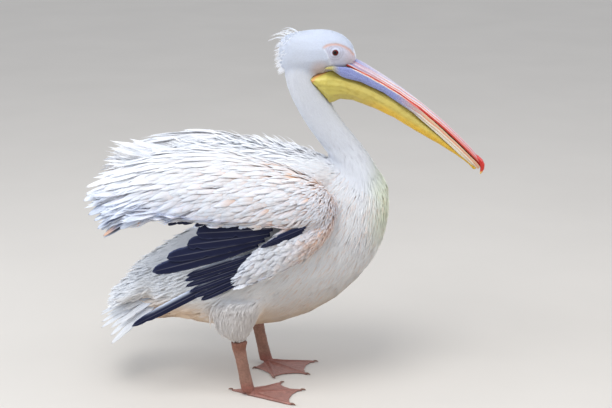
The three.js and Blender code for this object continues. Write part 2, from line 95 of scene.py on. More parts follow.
# How far the skin lies under the tips of the coat, by the part of the body.
COAT_DEPTH = {
    "head": 1.2,
    "neck_upper": 2.2,
    "neck_lower": 3.2,
    "trunk": 5.5,
    "mantle": 6.0,
    "arm": 6.0,
    "hand": 4.5,
    "thigh": 4.5,
    "tail": 5.0,
}
PARTS = list(COAT_DEPTH)

made = {}  # what one operator leaves for the next


def part_of(node):
    """The part of the body that a CAD node belongs to."""
    return node.rsplit("_", 1)[0] if node.endswith(("_right", "_left")) else node


# ---- colours -----------------------------------------------------------------------------
def linear(r, g, b):
    """A colour written as 0-255 screen values, as the linear numbers a shader takes."""
    out = []
    for value in (r, g, b):
        c = value / 255
        out.append(c / 12.92 if c <= 0.04045 else ((c + 0.055) / 1.055) ** 2.4)
    return tuple(out)


def colour(name, description, r, g, b):
    """A colour setting, from 0-255 screen values."""
    return FloatVectorProperty(
        name=name, description=description, default=linear(r, g, b), subtype="COLOR", size=3,
        min=0.0, max=1.0,
    )


def length(name, description, millimetres):
    """A size setting."""
    return FloatProperty(
        name=name, description=description, default=millimetres * MM, min=0.0, unit="LENGTH"
    )


def power(name, description, watts):
    """A setting for the strength of a lamp."""
    return FloatProperty(name=name, description=description, default=watts, min=0.0, unit="POWER")


class PelicanSkinSettings(bpy.types.PropertyGroup):
    """Sizes and colours of the skin, its bare face, legs, feet and claws."""

    body_cell: length("Body cell", "Cell of the body's surface", 5.6)
    leg_cell: length("Leg cell", "Cell of the legs' and feet's surface", 1.9)
    bare_face: colour("Bare face", "Naked skin round the eye", 198, 201, 220)
    brow: colour("Brow", "Line where the feathers meet the bare face", 200, 134, 100)
    shank: colour("Shank", "Front of the bare leg", 150, 112, 98)
    ankle: colour("Ankle", "Ankle joint and the backs of the legs", 138, 88, 72)
    foot: colour("Foot", "Toes", 146, 92, 80)
    web: colour("Web", "Webs between the toes", 164, 118, 108)
    # Sole: painted shade along the bottom of the toes, where they meet the floor.
    sole: colour("Sole", "Worn skin along the sole", 104, 58, 52)
    claw: colour("Claw", "Horn of the claws", 96, 66, 54)


class PelicanPlumageSettings(bpy.types.PropertyGroup):
    """Colours of the plumage, and how thickly it grows."""

    white: colour("White", "Plain body feathers", 248, 250, 254)
    # Cool white: a bluish white. On the lower rear of the wings it is painted shade, and on the
    # rims of the outer primaries a painted highlight.
    cool: colour("Cool white", "Bluish cast of head, wings and tail", 219, 230, 250)
    # Shade: painted shade, a grey given to the thighs and the lower flanks where the body shades
    # them.
    shade: colour("Shade", "Greyer down of thighs and flanks", 214, 208, 206)
    neck: colour("Neck", "Velvet of the neck", 239, 243, 252)
    stain: colour("Stain", "Cosmetic stain at the roots of the coverts", 236, 179, 136)
    rust: colour("Rust", "Small curled feathers at the wrist", 196, 132, 92)
    bib: colour("Bib", "Yellow-green tinge down the front of the breast", 242, 251, 214)
    # Belly: tan of the lower belly and the vent; on the underside of the belly a real stain with
    # painted shade and painted warm light from the ground.
    belly: colour("Belly", "Tan of the lower belly and the vent", 236, 200, 160)
    flight: colour("Flight feathers", "Primaries, alula and tips of the secondaries", 10, 19, 54)
    # Flight edge: pale rims of the flight feathers, partly their own edge and partly painted
    # highlight; also the smoky cores of some tertials.
    flight_edge: colour("Flight edge", "Frosted rims of the flight feathers", 88, 100, 142)
    shaft: colour("Shaft", "Pale shafts of the flight feathers", 196, 198, 212)
    spacing: FloatProperty(
        name="Spacing", description="Distance between feather roots, 1 is natural", default=1.0,
        min=0.5, max=3.0, subtype="FACTOR",
    )
    seed: IntProperty(name="Seed", description="Start of the random draws", default=7)


class PelicanBillSettings(bpy.types.PropertyGroup):
    """Colours of the bill and the pouch."""

    cell: length("Bill cell", "Cell of the bill's surface", 1.3)
    culmen: colour("Culmen", "Pale horn of the upper mandible", 232, 222, 222)
    slate: colour("Slate", "Blue-grey skin at the base of both mandibles", 140, 149, 200)
    tomium: colour("Tomium", "Red cutting edge", 206, 66, 52)
    line: colour("Lines", "Fine pink lines along both mandibles", 222, 112, 90)
    horn: colour("Horn", "Tan horn of the lower mandible", 214, 184, 150)
    rim: colour("Rim", "White rim between lower mandible and pouch", 232, 226, 214)
    nail: colour("Nail", "Hooked nail", 206, 38, 34)
    nail_tip: colour("Nail tip", "Pale point of the nail", 238, 206, 120)
    pouch: colour("Pouch", "Yellow of the pouch", 196, 180, 94)
    pouch_edge: colour("Pouch edge", "Orange along the bottom of the pouch", 236, 190, 56)
    pouch_rear: colour("Pouch rear", "Olive of the pouch under the gape", 196, 184, 92)


class PelicanEyeSettings(bpy.types.PropertyGroup):
    """Size and colours of the eyes."""

    radius: length("Eye radius", "Radius of the eyeball", 10.2)
    iris: colour("Iris", "Dark red-brown iris", 124, 20, 20)
    pupil: colour("Pupil", "Pupil", 6, 5, 6)


class PelicanStageSettings(bpy.types.PropertyGroup):
    """Floor, lamps and background."""

    floor: colour("Floor", "Pale floor", 208, 203, 197)
    ground: colour("Ground", "Sandy light that the floor throws back up", 198, 186, 170)
    key: power("Key", "Strength of the main lamp", 79.0)
    fill: power("Fill", "Strength of the fill lamp", 25.0)
    rear: power("Rear", "Strength of the lamp behind", 42.0)
    sky: FloatProperty(
        name="Sky", description="Strength of the even light", default=0.79, min=0.0
    )


SETTINGS = {
    "pelican_skin": PelicanSkinSettings,
    "pelican_plumage": PelicanPlumageSettings,
    "pelican_bill": PelicanBillSettings,
    "pelican_eye": PelicanEyeSettings,
    "pelican_stage": PelicanStageSettings,
}


def settings(group):
    """The user's settings for one group of pieces."""
    return getattr(bpy.context.scene, "pelican_" + group)


# ---- numbers -----------------------------------------------------------------------------
def unit(v):
    """Vectors scaled to a length of one."""
    return v / np.maximum(np.linalg.norm(v, axis=-1, keepdims=True), 1e-12)


def upright(corners):
    """Vectors square to triangles and as long as twice their area, from triangle x corner x 3."""
    return np.cross(corners[:, 1] - corners[:, 0], corners[:, 2] - corners[:, 0])


def dot(a, b):
    """Products of vectors in pairs, one number each."""
    return (a * b).sum(-1)


def ease(value, low, high):
    """0 below low, 1 above high, smooth between; low may be the larger one."""
    t = np.clip((np.asarray(value, float) - low) / (high - low), 0, 1)
    return t * t * (3 - 2 * t)


def bell(value, middle, width):
    """1 where value is middle, and less on both sides."""
    return np.exp(-(((value - middle) / width) ** 2))


def mix(a, b, amount):
    """Colours from a towards b, by an amount for each point."""
    return a + (np.asarray(b) - a) * np.asarray(amount)[..., None]


def plain(rgb, count):
    """One colour, for each of count points."""
    return np.tile(rgb[:], (count, 1))


def bird(points):
    """Points of the shared frame as the bird's own millimetres."""
    return (np.asarray(points) - (AHEAD, 0, 0)) / MM


def at(x, y, z):
    """A point given in the bird's own millimetres, in the shared frame."""
    return np.array([x * MM + AHEAD, y * MM, z * MM])


def from_eye(x, z):
    """How far points lie from the eye, seen from the side, in millimetres."""
    return np.hypot(x - EYE_X, z - EYE_Z)


def noise(points, size, seed):
    """Smooth value noise from -1 to 1, one wave about size long. Each seed is a place of its
    own in the pattern, and each corner of a cell gets its value by mixing its indices."""
    q = points / size + 37.31 * (seed + 1)
    cell = np.floor(q).astype(np.int64)
    f = q - cell
    f = f * f * (3 - 2 * f)
    total = 0
    for corner in range(8):
        d = np.array([corner & 1, corner >> 1 & 1, corner >> 2])
        c = cell + d
        h = c[:, 0] * 73856093 ^ c[:, 1] * 19349663 ^ c[:, 2] * 83492791
        h = (h ^ (h >> 13)) * 1274126177
        value = ((h >> 8) & 0xFFFF) / 32767.5 - 1
        total = total + value * np.where(d, f, 1 - f).prod(1)
    return total


# ---- meshes ------------------------------------------------------------------------------
def merged(names, swell):
    """One bmesh of welded copies of CAD nodes, each swollen a little so that they join."""
    whole = bmesh.new()
    for name in names:
        piece = bmesh.new()
        piece.from_mesh(NODES[name].data)
        bmesh.ops.remove_doubles(piece, verts=piece.verts, dist=1e-6)
        if name == "tail":  # the skin ends under its feathers
            cut = bmesh.ops.bisect_plane(
                piece, geom=piece.verts[:] + piece.edges[:] + piece.faces[:],
                plane_co=(TAIL_PAD_END, 0, 0), plane_no=(-1, 0, 0), clear_outer=True,
            )
            edges = [e for e in cut["geom_cut"] if isinstance(e, bmesh.types.BMEdge)]
            bmesh.ops.holes_fill(piece, edges=edges)
        piece.normal_update()
        for v in piece.verts:
            v.co += v.normal * swell
        scratch = bpy.data.meshes.new("scratch")
        piece.to_mesh(scratch)
        whole.from_mesh(scratch)
        piece.free()
        bpy.data.meshes.remove(scratch)
    return whole


def with_modifier(bm, kind, **options):
    """The bmesh after one modifier, as a bmesh. The given one is freed."""
    mesh = bpy.data.meshes.new("scratch")
    bm.to_mesh(mesh)
    bm.free()
    obj = bpy.data.objects.new("scratch", mesh)
    bpy.context.scene.collection.objects.link(obj)
    modifier = obj.modifiers.new(kind, kind)
    for key, value in options.items():
        setattr(modifier, key, value)
    result = bpy.data.meshes.new_from_object(
        obj.evaluated_get(bpy.context.evaluated_depsgraph_get())
    )
    out = bmesh.new()
    out.from_mesh(result)
    bpy.data.objects.remove(obj)
    bpy.data.meshes.remove(mesh)
    bpy.data.meshes.remove(result)
    return out


def edge_array(bm):
    """The edges as pairs of vertex numbers."""
    bm.verts.index_update()
    return np.array([(e.verts[0].index, e.verts[1].index) for e in bm.edges])


def get_points(bm):
    return np.array([v.co[:] for v in bm.verts])


def get_normals(bm):
    return np.array([v.normal[:] for v in bm.verts])


def set_points(bm, points):
    for v, p in zip(bm.verts, points.tolist()):
        v.co = p


def spread(values, edges, rounds, amount=0.5):
    """Values evened out over the mesh, each moved towards the mean of its neighbours."""
    a, b = edges.T
    n = len(values)
    degree = np.bincount(a, minlength=n) + np.bincount(b, minlength=n)
    degree = np.maximum(degree, 1)[:, None]
    for _ in range(rounds):
        total = [np.bincount(a, c[b], n) + np.bincount(b, c[a], n) for c in values.T]
        values = values + amount * (np.stack(total, 1) / degree - values)
    return values


def relaxed(points, edges, rounds):
    """Points smoothed without losing volume: each step in is followed by one back out."""
    for _ in range(rounds):
        points = spread(points, edges, 1)
        points = spread(points, edges, 1, -0.52)
    return points


def voxelled(bm, cell, rounds, bodies=1):
    """A closed surface round everything in the bmesh, with its facets smoothed away.
    bodies is how many separate bodies it has; crumbs beyond them are dropped."""
    bm = with_modifier(bm, "REMESH", mode="VOXEL", voxel_size=cell)
    for part in loose_parts(bm)[bodies:]:
        bmesh.ops.delete(bm, geom=part, context="VERTS")
    bm.verts.ensure_lookup_table()
    set_points(bm, relaxed(get_points(bm), edge_array(bm), rounds))
    bm.normal_update()
    return bm


def loose_parts(bm):
    """The connected sets of vertices, the largest first."""
    bm.verts.index_update()
    seen = set()
    parts = []
    for start in bm.verts:
        if start.index in seen:
            continue
        seen.add(start.index)
        part = [start]
        for v in part:
            for e in v.link_edges:
                other = e.other_vert(v)
                if other.index not in seen:
                    seen.add(other.index)
                    part.append(other)
        parts.append(part)
    return sorted(parts, key=len, reverse=True)


def add_piece(name, mesh, material, replaced=()):
    """Links a finished piece to the scene and to the frame."""
    obj = bpy.data.objects.new(name, mesh)
    bpy.context.scene.collection.objects.link(obj)
    mesh.materials.clear()
    mesh.materials.append(material)
    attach(obj, BODY)
    if replaced:
        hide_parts(*replaced)


def mesh_of(bm, name):
    """The bmesh as a mesh, shaded smooth all over. The bmesh is freed."""
    for face in bm.faces:
        face.smooth = True
    mesh = bpy.data.meshes.new(name)
    bm.to_mesh(mesh)
    bm.free()
    return mesh


def set_tint(mesh, rgb):
    """Paints the points of a mesh, for its material's Tint."""
    layer = mesh.color_attributes.new("Tint", "FLOAT_COLOR", "POINT")
    rgba = np.ones((len(rgb), 4), np.float32)
    rgba[:, :3] = np.clip(rgb, 0, 1)
    layer.data.foreach_set("color", rgba.ravel())


def set_number(mesh, name, values):
    """Gives each point of a mesh a number that its material reads."""
    layer = mesh.attributes.new(name, "FLOAT", "POINT")
    layer.data.foreach_set("value", np.asarray(values, np.float32))


# ---- materials -----------------------------------------------------------------------------
class Shader:
    """A material under construction: nodes are added and wired by short calls. The names of
    its arguments are those of the main shader's sockets, in small letters."""

    def __init__(self, name, **sockets):
        self.material = bpy.data.materials.new(name)
        self.material.use_nodes = True
        self.tree = self.material.node_tree
        self.principled = self.tree.nodes["Principled BSDF"]
        for key, value in sockets.items():
            socket = key.replace("_", " ").title().replace("Ior", "IOR")
            self.principled.inputs[socket].default_value = value

    def node(self, kind, inputs=(), **options):
        node = self.tree.nodes.new("ShaderNode" + kind)
        for key, value in options.items():
            setattr(node, key, value)
        for key, value in dict(inputs).items():
            if isinstance(value, bpy.types.NodeSocket):
                self.tree.links.new(value, node.inputs[key])
            else:
                node.inputs[key].default_value = value
        return node

    def math(self, operation, *values):
        return self.node("Math", enumerate(values), operation=operation).outputs[0]

    def attribute(self, name, output="Fac"):
        return self.node("Attribute", attribute_name=name).outputs[output]

    def place(self):
        return self.node("TexCoord").outputs["Object"]

    def ramp(self, factor, stops):
        """A colour band; each stop is a place and a colour."""
        node = self.node("ValToRGB", {"Fac": factor})
        band = node.color_ramp
        while len(band.elements) < len(stops):
            band.elements.new(0.5)
        for element, (place, rgb) in zip(band.elements, stops):
            element.position = place
            element.color = (*rgb, 1)
        return node.outputs["Color"]

    def blend(self, kind, factor, a, b):
        """A mix of two colours, each a socket or plain numbers."""
        node = self.node("Mix", data_type="RGBA", blend_type=kind)
        for socket, value in ((node.inputs[0], factor), (node.inputs[6], a), (node.inputs[7], b)):
            if isinstance(value, bpy.types.NodeSocket):
                self.tree.links.new(value, socket)
            elif socket.type == "RGBA":
                socket.default_value = (*value, 1)
            else:
                socket.default_value = value
        return node.outputs[2]

    def noise(self, scale, detail=3.0, vector=None, roughness=0.5):
        inputs = {"Vector": vector or self.place(), "Scale": scale, "Detail": detail}
        return self.node("TexNoise", {**inputs, "Roughness": roughness}).outputs["Fac"]

    def wire(self, key, socket):
        self.tree.links.new(socket, self.principled.inputs[key])

    def bump(self, height, strength, distance):
        inputs = {"Height": height, "Strength": strength, "Distance": distance}
        self.wire("Normal", self.node("Bump", inputs).outputs["Normal"])


def plumage_material(name, rough, sheen, glow, barb_strength, barb_count):
    """Feathers: colour from the blades, silky streaks along them and fine barbs slanting off
    the shaft. glow is how much light passes through."""
    s = Shader(
        name, roughness=rough, sheen_weight=sheen, sheen_roughness=0.5, subsurface_weight=glow,
        subsurface_radius=(1.0, 0.94, 0.9), subsurface_scale=0.005, specular_ior_level=0.25,
    )
    tint = s.attribute("Tint", "Color")
    vane = s.node("UVMap", uv_map="Vane").outputs["UV"]
    barbs = s.node("Mapping", {"Vector": vane, "Scale": (3.2, 0.7, 1.0)}).outputs["Vector"]
    place = s.place()
    spot = s.node(
        "VectorMath", {0: place, 1: (14.0, 14.0, 14.0), 2: barbs}, operation="MULTIPLY_ADD"
    ).outputs["Vector"]
    silk = s.ramp(s.noise(2.6, 3.0, spot, 0.6), [(0.36, (0.90, 0.91, 0.94)), (0.56, (1.0,) * 3)])
    s.wire("Base Color", s.blend("MULTIPLY", 1.0, tint, silk))
    if barb_strength:
        parts = s.node("SeparateXYZ", {"Vector": vane})
        off = s.math("ABSOLUTE", s.math("SUBTRACT", parts.outputs["X"], 0.5))
        slant = s.math("SUBTRACT", parts.outputs["Y"], s.math("MULTIPLY", off, 0.35))
        wave = s.math("SINE", s.math("MULTIPLY", slant, barb_count * math.tau))
        height = s.math("MULTIPLY_ADD", wave, 0.5, s.noise(900.0, 2.0))
        s.bump(height, barb_strength, 0.0004)
    return s.material


# ---- the surface that the coat is laid on -----------------------------------------------------
class Surface:
    """The outline of the coat, with the lie of the feathers at each vertex."""

    def __init__(self, bm, labels):
        flat = bm.copy()
        bmesh.ops.triangulate(flat, faces=flat.faces)
        flat.verts.index_update()
        flat.normal_update()
        self.points = get_points(flat)
        self.normals = get_normals(flat)
        self.triangles = np.array([[v.index for v in f.verts] for f in flat.faces])
        self.edges = edge_array(flat)
        flat.free()
        self.labels = labels
        self.tree = BVHTree.FromPolygons(self.points.tolist(), self.triangles.tolist())
        self.areas = np.linalg.norm(upright(self.points[self.triangles]), axis=1) / 2
        self.weights = spread(np.eye(len(PARTS))[labels], self.edges, 8)
        flow = spread(lie_of_coat(self.points, labels), self.edges, 14)
        self.lie = unit(flow)
        self.flow = unit(flow - self.normals * dot(flow, self.normals)[:, None])

    def nearest(self, spots):
        """Nearest points, with the triangle each lies in."""
        find = self.tree.find_nearest
        found = [find(p) for p in spots.tolist()]
        places = np.array([f[0][:] for f in found])
        triangles = np.array([f[2] for f in found])
        return places, triangles

    def at(self, values, triangles):
        """Values kept for each vertex, read in the middle of triangles."""
        return values[self.triangles[triangles]].mean(1)


def neck_ahead(z):
    """How far ahead the middle of the neck is at a height, in the bird's millimetres."""
    heights = [452, 496, 533, 572, 610, 648, 697, 740, 768, 792]
    return np.interp(z, heights, [182, 180, 166, 139, 110, 84, 60, 42, 34, 32])


def lie_of_coat(points, labels):
    """The way the feathers point at each place: away from the bill, then down and back."""
    x, y, z = bird(points).T
    side = np.sign(y)
    zero = np.zeros_like(x)
    ways = np.zeros((len(PARTS), len(x), 3))

    def way(part, along, across, up):
        ways[PARTS.index(part)] = unit(np.stack([along, across, up], 1))

    from_bill = unit(np.stack([x - 186, y * 0.8, z - 800], 1))
    down = ease(x, 70, -5)[:, None] * np.array([0.35, 0, -1.6])
    ways[PARTS.index("head")] = unit(from_bill + down)
    slope = (neck_ahead(z - 8) - neck_ahead(z + 8)) / 16
    way("neck_upper", slope, zero, zero - 1)
    way("neck_lower", slope * ease(z, 500, 600) - 0.1, zero, zero - 1)
    fall = np.interp(x, [-300, -200, -100, 0, 90, 170, 230], [14, 20, 32, 44, 56, 68, 84])
    fall = np.radians(fall)
    way("trunk", -np.cos(fall), -0.12 * side * ease(x, 0, -250), -np.sin(fall))
    way("mantle", zero - 1, side * 0.12 * ease(np.abs(y), 10, 60), zero + 0.02)
    fall = 12 + 16 * ease(z, 560, 450) + 26 * ease(x, 20, 110) + 8 * ease(x, -150, -330)
    fall = np.radians(fall)
    way("arm", -np.cos(fall), side * 0.06, -np.sin(fall))
    fall = np.radians(34 + 12 * ease(x, 40, 110))
    way("hand", -np.cos(fall), zero, -np.sin(fall))
    way("thigh", zero - 0.12, zero, zero - 1)
    way("tail", zero - 0.89, y / 260, zero - 0.45)
    return ways[labels, np.arange(len(x))]


def region_labels(points):
    """For each point, which part of the body is nearest."""
    corners = []
    faces = []
    owners = []
    for name in FLESH:
        mesh = NODES[name].data
        start = len(corners)
        corners += [v.co[:] for v in mesh.vertices]
        faces += [[start + i for i in p.vertices] for p in mesh.polygons]
        owners += [PARTS.index(part_of(name))] * len(mesh.polygons)
    tree = BVHTree.FromPolygons(corners, faces)
    return np.array([owners[tree.find_nearest(p)[2]] for p in points.tolist()])


# The bare face, seen from the side: its outline from the gape round to the base of the bill.
FACE_OUTLINE = [
    (107, 769), (104, 785), (99, 799), (93, 811), (90, 817), (98, 821.5), (108, 823.5),
    (119, 823.6), (128, 821.5), (137, 817.8), (149, 810), (158, 799), (170, 790), (170, 760),
]
BROW_LINE = FACE_OUTLINE[4:12]


def in_face(x, z):
    """Whether points lie inside the bare face."""
    inside = np.zeros(len(x), bool)
    for i, (x0, z0) in enumerate(FACE_OUTLINE):
        x1, z1 = FACE_OUTLINE[i - 1]
        crosses = (z0 > z) != (z1 > z)
        inside ^= crosses & (x < (x1 - x0) * (z - z0) / (z1 - z0 + 1e-9) + x0)
    return inside


def distance_to_line(x, z, line):
    """How far points are from a line of (x, z) places, in millimetres."""
    best = np.full(len(x), 1e9)
    for (x0, z0), (x1, z1) in zip(line, line[1:]):
        dx, dz = x1 - x0, z1 - z0
        t = np.clip(((x - x0) * dx + (z - z0) * dz) / (dx * dx + dz * dz), 0, 1)
        best = np.minimum(best, np.hypot(x - x0 - t * dx, z - z0 - t * dz))
    return best


def face_side(y):
    """1 on the sides of the head, 0 on the crown and under the chin."""
    return ease(np.abs(y), 11, 20)


def brow_amount(x, y, z):
    """1 on the line where the feathers of the crown meet the bare face."""
    off = distance_to_line(x, z, BROW_LINE)
    return bell(off, 0, 2.5) * face_side(y)


def face_amount(x, y, z):
    """1 in the bare face, 0 outside it, with a soft edge."""
    edge = distance_to_line(x, z, FACE_OUTLINE)
    inner = np.where(in_face(x, z), 0.5 + 0.5 * ease(edge, 0, 3.5), 0.5 - 0.5 * ease(edge, 0, 1.5))
    return inner * face_side(y)


# ---- markings ------------------------------------------------------------------------------
def markings(points, weights, along, luck):
    """Colour of skin and feathers alike. along is 0 at a feather's root and 1 at its tip,
    luck a number from 0 to 1 that each feather keeps."""
    p = settings("plumage")
    x, y, z = bird(points).T
    part = {name: weights[:, i] for i, name in enumerate(PARTS)}
    root = 1 - along
    wing = part["arm"] + part["hand"]
    neck = part["neck_upper"] + part["neck_lower"]
    body = part["trunk"] + part["neck_lower"]
    patch = noise(points, 0.045, 1)
    tone = plain(p.white, len(points))
    tone = mix(tone, p.neck, neck * 0.8 + part["head"] * 0.8)
    tone = mix(tone, p.cool, part["head"] * 0.5)
    # Painted shade: the thighs are greyed.
    tone = mix(tone, p.shade, part["thigh"] * 0.8)
    # Painted shade: the wings turn bluish towards their lower edge, most towards the rear.
    tone = mix(tone, p.cool, wing * ease(z, 590, 450) * (0.45 + 0.4 * ease(x, -40, -240)))
    bib = ease(x, 176, 244) * ease(z, 610, 520) * ease(z, 320, 450)
    tone = mix(tone, p.bib, body * bib * (0.8 + 0.3 * patch))
    # The underside of the belly turns tan: partly stain, partly painted shade and painted warm
    # light from the ground.
    tan = ease(z, 268, 176) * ease(x, -130, -40)
    tone = mix(tone, p.belly, part["trunk"] * tan * (0.85 + 0.25 * patch))
    # Painted shade: the lower front of the trunk greys below about 330 mm.
    tone = mix(tone, p.shade, part["trunk"] * ease(z, 330, 250) * ease(x, -60, 20) * 0.5)
    vent = ease(z, 250, 190) * ease(x, -95, -150)
    tone = mix(tone, p.belly, part["trunk"] * vent * 0.75)
    streak = ease(luck, 0.70, 0.95) * (0.3 + 0.7 * root)
    tone = mix(tone, p.stain, part["trunk"] * streak * 0.45 * ease(x, -160, 60))
    # Stain on the lower front of the mantle: partly a real stain, partly painted shade along the
    # lobe's lower edge.
    lobe = ease(x, 0, 95) * ease(z, 545, 492)
    tone = mix(tone, p.stain, part["mantle"] * (lobe * 0.35 + streak * 0.16))
    reach = (0.35 + 0.65 * ease(x, -330, 60)) * (0.3 + 0.7 * ease(z, 590, 545))
    deep = ease(along, 0.86, 0.4) * (0.4 + 0.6 * ease(luck, 0.55, 0.95))
    deep = deep * (part["arm"] + part["hand"] * (0.25 + 0.75 * ease(x, 20, 90)))
    tone = mix(tone, p.stain, deep * reach * (0.9 + 0.3 * patch))
    rust = ease(x, 84, 116) * wing * (0.06 + 0.5 * ease(luck, 0.3, 0.9)) * ease(z, 540, 470)
    tone = mix(tone, p.rust, rust * (0.35 + 0.65 * root))
    lower = part["hand"] * ease(z - 0.52 * x, 398, 366) * ease(x, -20, 90)
    tone = mix(tone, p.stain, lower * (0.2 + 0.45 * luck))
    cheek = part["head"] * ease(np.hypot(x - 84, z - 762), 34, 8)
    tone = mix(tone, p.stain, cheek * 0.32)
    brow = brow_amount(x, y, z)
    tone = mix(tone, settings("skin").brow, part["head"] * brow * 0.7 * ease(x, 82, 96))
    # Painted shade: each feather darkens towards its root, where the feathers over it shade it,
    # less on the head and upper neck; the skin under the coat is darkened the same way.
    dark = 1 - 0.08 * root * (1 - part["head"] - part["neck_upper"]).clip(0, 1)
    return tone * dark[:, None]


# ---- blades --------------------------------------------------------------------------------
# Sections of a blade, as shares of its half width and of the height of its ridge.
LIGHT_RING = np.array([(-1, 0), (0, 1), (1, 0)], float)
VANE_RING = np.array([(-1, 0), (-0.42, 0.5), (0, 1), (0.42, 0.5), (1, 0)], float)
SOFTNESS = 0.65  # how far a blade shades as the surface that it lies on
ROUNDNESS = 0.22  # how far the shading leans out towards a blade's edges
STEEPEST = 0.15  # shading that leans further off a facet than this is left flat


def blades(name, centre, up, half_width, ridge, ring, tint, places):
    """A mesh of closed blades. centre and up are blade x row x 3, half_width and ridge
    blade x row; the last row is the tip. places are where the roots lie on the unwrap."""
    count, rows, _ = centre.shape
    k = len(ring)
    way = unit(np.gradient(centre, axis=1))
    side = unit(np.cross(way, up))
    lift = unit(np.cross(side, way))
    body = slice(0, rows - 1)
    points = (
        centre[:, body, None]
        + side[:, body, None] * (half_width[:, body, None, None] * ring[:, :1])
        + lift[:, body, None] * (ridge[:, body, None, None] * ring[:, 1:])
    )
    soft = unit(up * SOFTNESS + lift * (1 - SOFTNESS))
    rounded = unit(soft[:, body, None] + side[:, body, None] * (ROUNDNESS * ring[:, :1]))
    across = np.tile((ring[:, 0] + 1) / 2, (rows - 1, 1))
    along = np.tile(np.arange(rows - 1)[:, None] / (rows - 1), (1, k))
    local = np.concatenate([np.stack([across, along], -1).reshape(-1, 2), [(0.5, 1.0)]])
    each = (rows - 1) * k + 1
    verts = np.concatenate([points.reshape(count, -1, 3), centre[:, -1:]], 1).reshape(-1, 3)
    looks = np.concatenate([rounded.reshape(count, -1, 3), soft[:, -1:]], 1).reshape(-1, 3)
    faces = []
    upper = []
    for r in range(rows - 2):
        for i in range(k):
            j = (i + 1) % k
            a, b, c, d = r * k + i, r * k + j, (r + 1) * k + j, (r + 1) * k + i
            faces += [(a, b, c), (a, c, d)]
            upper += [i < k - 1] * 2
    last = (rows - 2) * k
    faces += [(last + i, last + (i + 1) % k, each - 1) for i in range(k)]
    upper += [i < k - 1 for i in range(k)]
    faces += [(0, i + 1, i) for i in range(1, k - 1)]
    upper += [False] * (k - 2)
    faces = np.array(faces)
    index = (np.arange(count)[:, None, None] * each + faces).reshape(-1, 3)
    upper = np.tile(upper, count)
    mesh = mesh_from(name, verts, index, upper)
    shade_softly(mesh, verts, index, upper, looks)
    row_of = np.append(np.repeat(np.arange(rows - 1), k), rows - 1)
    set_tint(mesh, tint[:, row_of].reshape(-1, 3))
    loops = faces.ravel()
    vane = np.tile(local[loops], (count, 1))
    bake = (places[:, None] + (local[loops] - 0.5) * BAKE_PATCH).reshape(-1, 2)
    add_map(mesh, "OFBake", bake)
    add_map(mesh, "Vane", vane)
    return mesh


def shade_softly(mesh, points, triangles, smooth, looks):
    """Gives the corners of the smooth triangles the normals in looks, so that blades that
    overlap shade as one soft surface. The other triangles stay flat."""
    flat = unit(upright(points[triangles]))
    normals = np.repeat(flat[:, None], 3, 1)
    wanted = looks[triangles]
    use = smooth[:, None] & (dot(wanted, flat[:, None]) > STEEPEST)
    normals[use] = wanted[use]
    mesh.normals_split_custom_set(normals.reshape(-1, 3))


def mesh_from(name, points, triangles, smooth):
    """A mesh of triangles. Only those marked smooth are shaded smooth, so that the edge of a
    thin blade stays crisp."""
    mesh = bpy.data.meshes.new(name)
    mesh.vertices.add(len(points))
    mesh.vertices.foreach_set("co", points.astype(np.float32).ravel())
    mesh.loops.add(triangles.size)
    mesh.loops.foreach_set("vertex_index", triangles.astype(np.int32).ravel())
    mesh.polygons.add(len(triangles))
    mesh.polygons.foreach_set("loop_start", np.arange(0, triangles.size, 3, dtype=np.int32))
    mesh.polygons.foreach_set("use_smooth", np.asarray(smooth, bool))
    mesh.update(calc_edges=True)
    return mesh


def add_map(mesh, name, uv):
    """A UV map, from one place for each corner of the faces."""
    layer = mesh.uv_layers.new(name=name)
    layer.data.foreach_set("uv", uv.astype(np.float32).ravel())


BAKE_PATCH = 0.003  # side of a blade's own place on the unwrap
BAKE_SCALE = 0.52  # of the unwrap for each metre of skin
BAKE_MARGIN = 0.012  # how far the coat may stand out of the CAD box, in metres
BAKE_LEFT = 0.003  # where the column of the sides facing down the axes starts
BAKE_RIGHT = 0.5  # how far over the column of the sides facing up them is
BAKE_ROWS = (0.73, 0.003, 0.5)  # where the rows of the sides facing x, y and z start


def bake_places(points, normals):
    """Where points lie on the skin's unwrap: its six sides, laid out flat side by side."""
    x, y, z = ((points - (np.array(CAD_BOX[0]) - BAKE_MARGIN)) * BAKE_SCALE).T
    axis = np.abs(normals).argmax(1)
    positive = normals[np.arange(len(points)), axis] > 0
    u = np.where(axis == 0, z, x) + np.where(positive, BAKE_RIGHT, 0.0) + BAKE_LEFT
    v = np.where(axis == 1, z, y) + np.array(BAKE_ROWS)[axis]
    return np.stack([u, v], 1)


DRAWS = 5  # random places drawn for each root that is kept
STEP = 1.12  # ratio between the sizes of the cells that roots are sorted into


def scatter(surface, triangles, spacing, rng):
    """Roots over some triangles, about spacing apart; spacing is one number a triangle.
    Space is divided into cells as wide as the spacing, and each keeps the first place in it."""
    chosen = np.flatnonzero(triangles)
    density = surface.areas[chosen] / spacing[chosen] ** 2
    count = int(density.sum() * DRAWS)
    pick = chosen[rng.choice(len(chosen), count, p=density / density.sum())]
    a, b = rng.random((2, count, 1))
    a, b = np.where(a + b > 1, 1 - a, a), np.where(a + b > 1, 1 - b, b)
    corners = surface.points[surface.triangles[pick]]
    spots = corners[:, 0] * (1 - a - b) + corners[:, 1] * a + corners[:, 2] * b
    step = STEP ** np.round(np.log(spacing[pick]) / math.log(STEP))
    cells = np.floor(spots / step[:, None]).astype(np.int64)
    key = cells[:, 0] * 7919 + cells[:, 1] * 104729 + cells[:, 2] * 1299709
    key = key * 97 + np.round(np.log(step) * 50).astype(np.int64)
    _, first = np.unique(key, return_index=True)
    return spots[first], pick[first]


WIDEST = 184.0  # how far out the coverts stand before they are drawn in, in mm
DRAWN_IN = 0.7  # how much of what stands out further is taken off
OUTWARDS = (0, 0.4, 0.8)  # the way loose blades look on the bird's left


def looseness(free, normal):
    """How far blades leave a surface that faces backwards, from 0 to 1."""
    return free[:, None] * ease(-normal[:, :1], 0.1, 0.55)


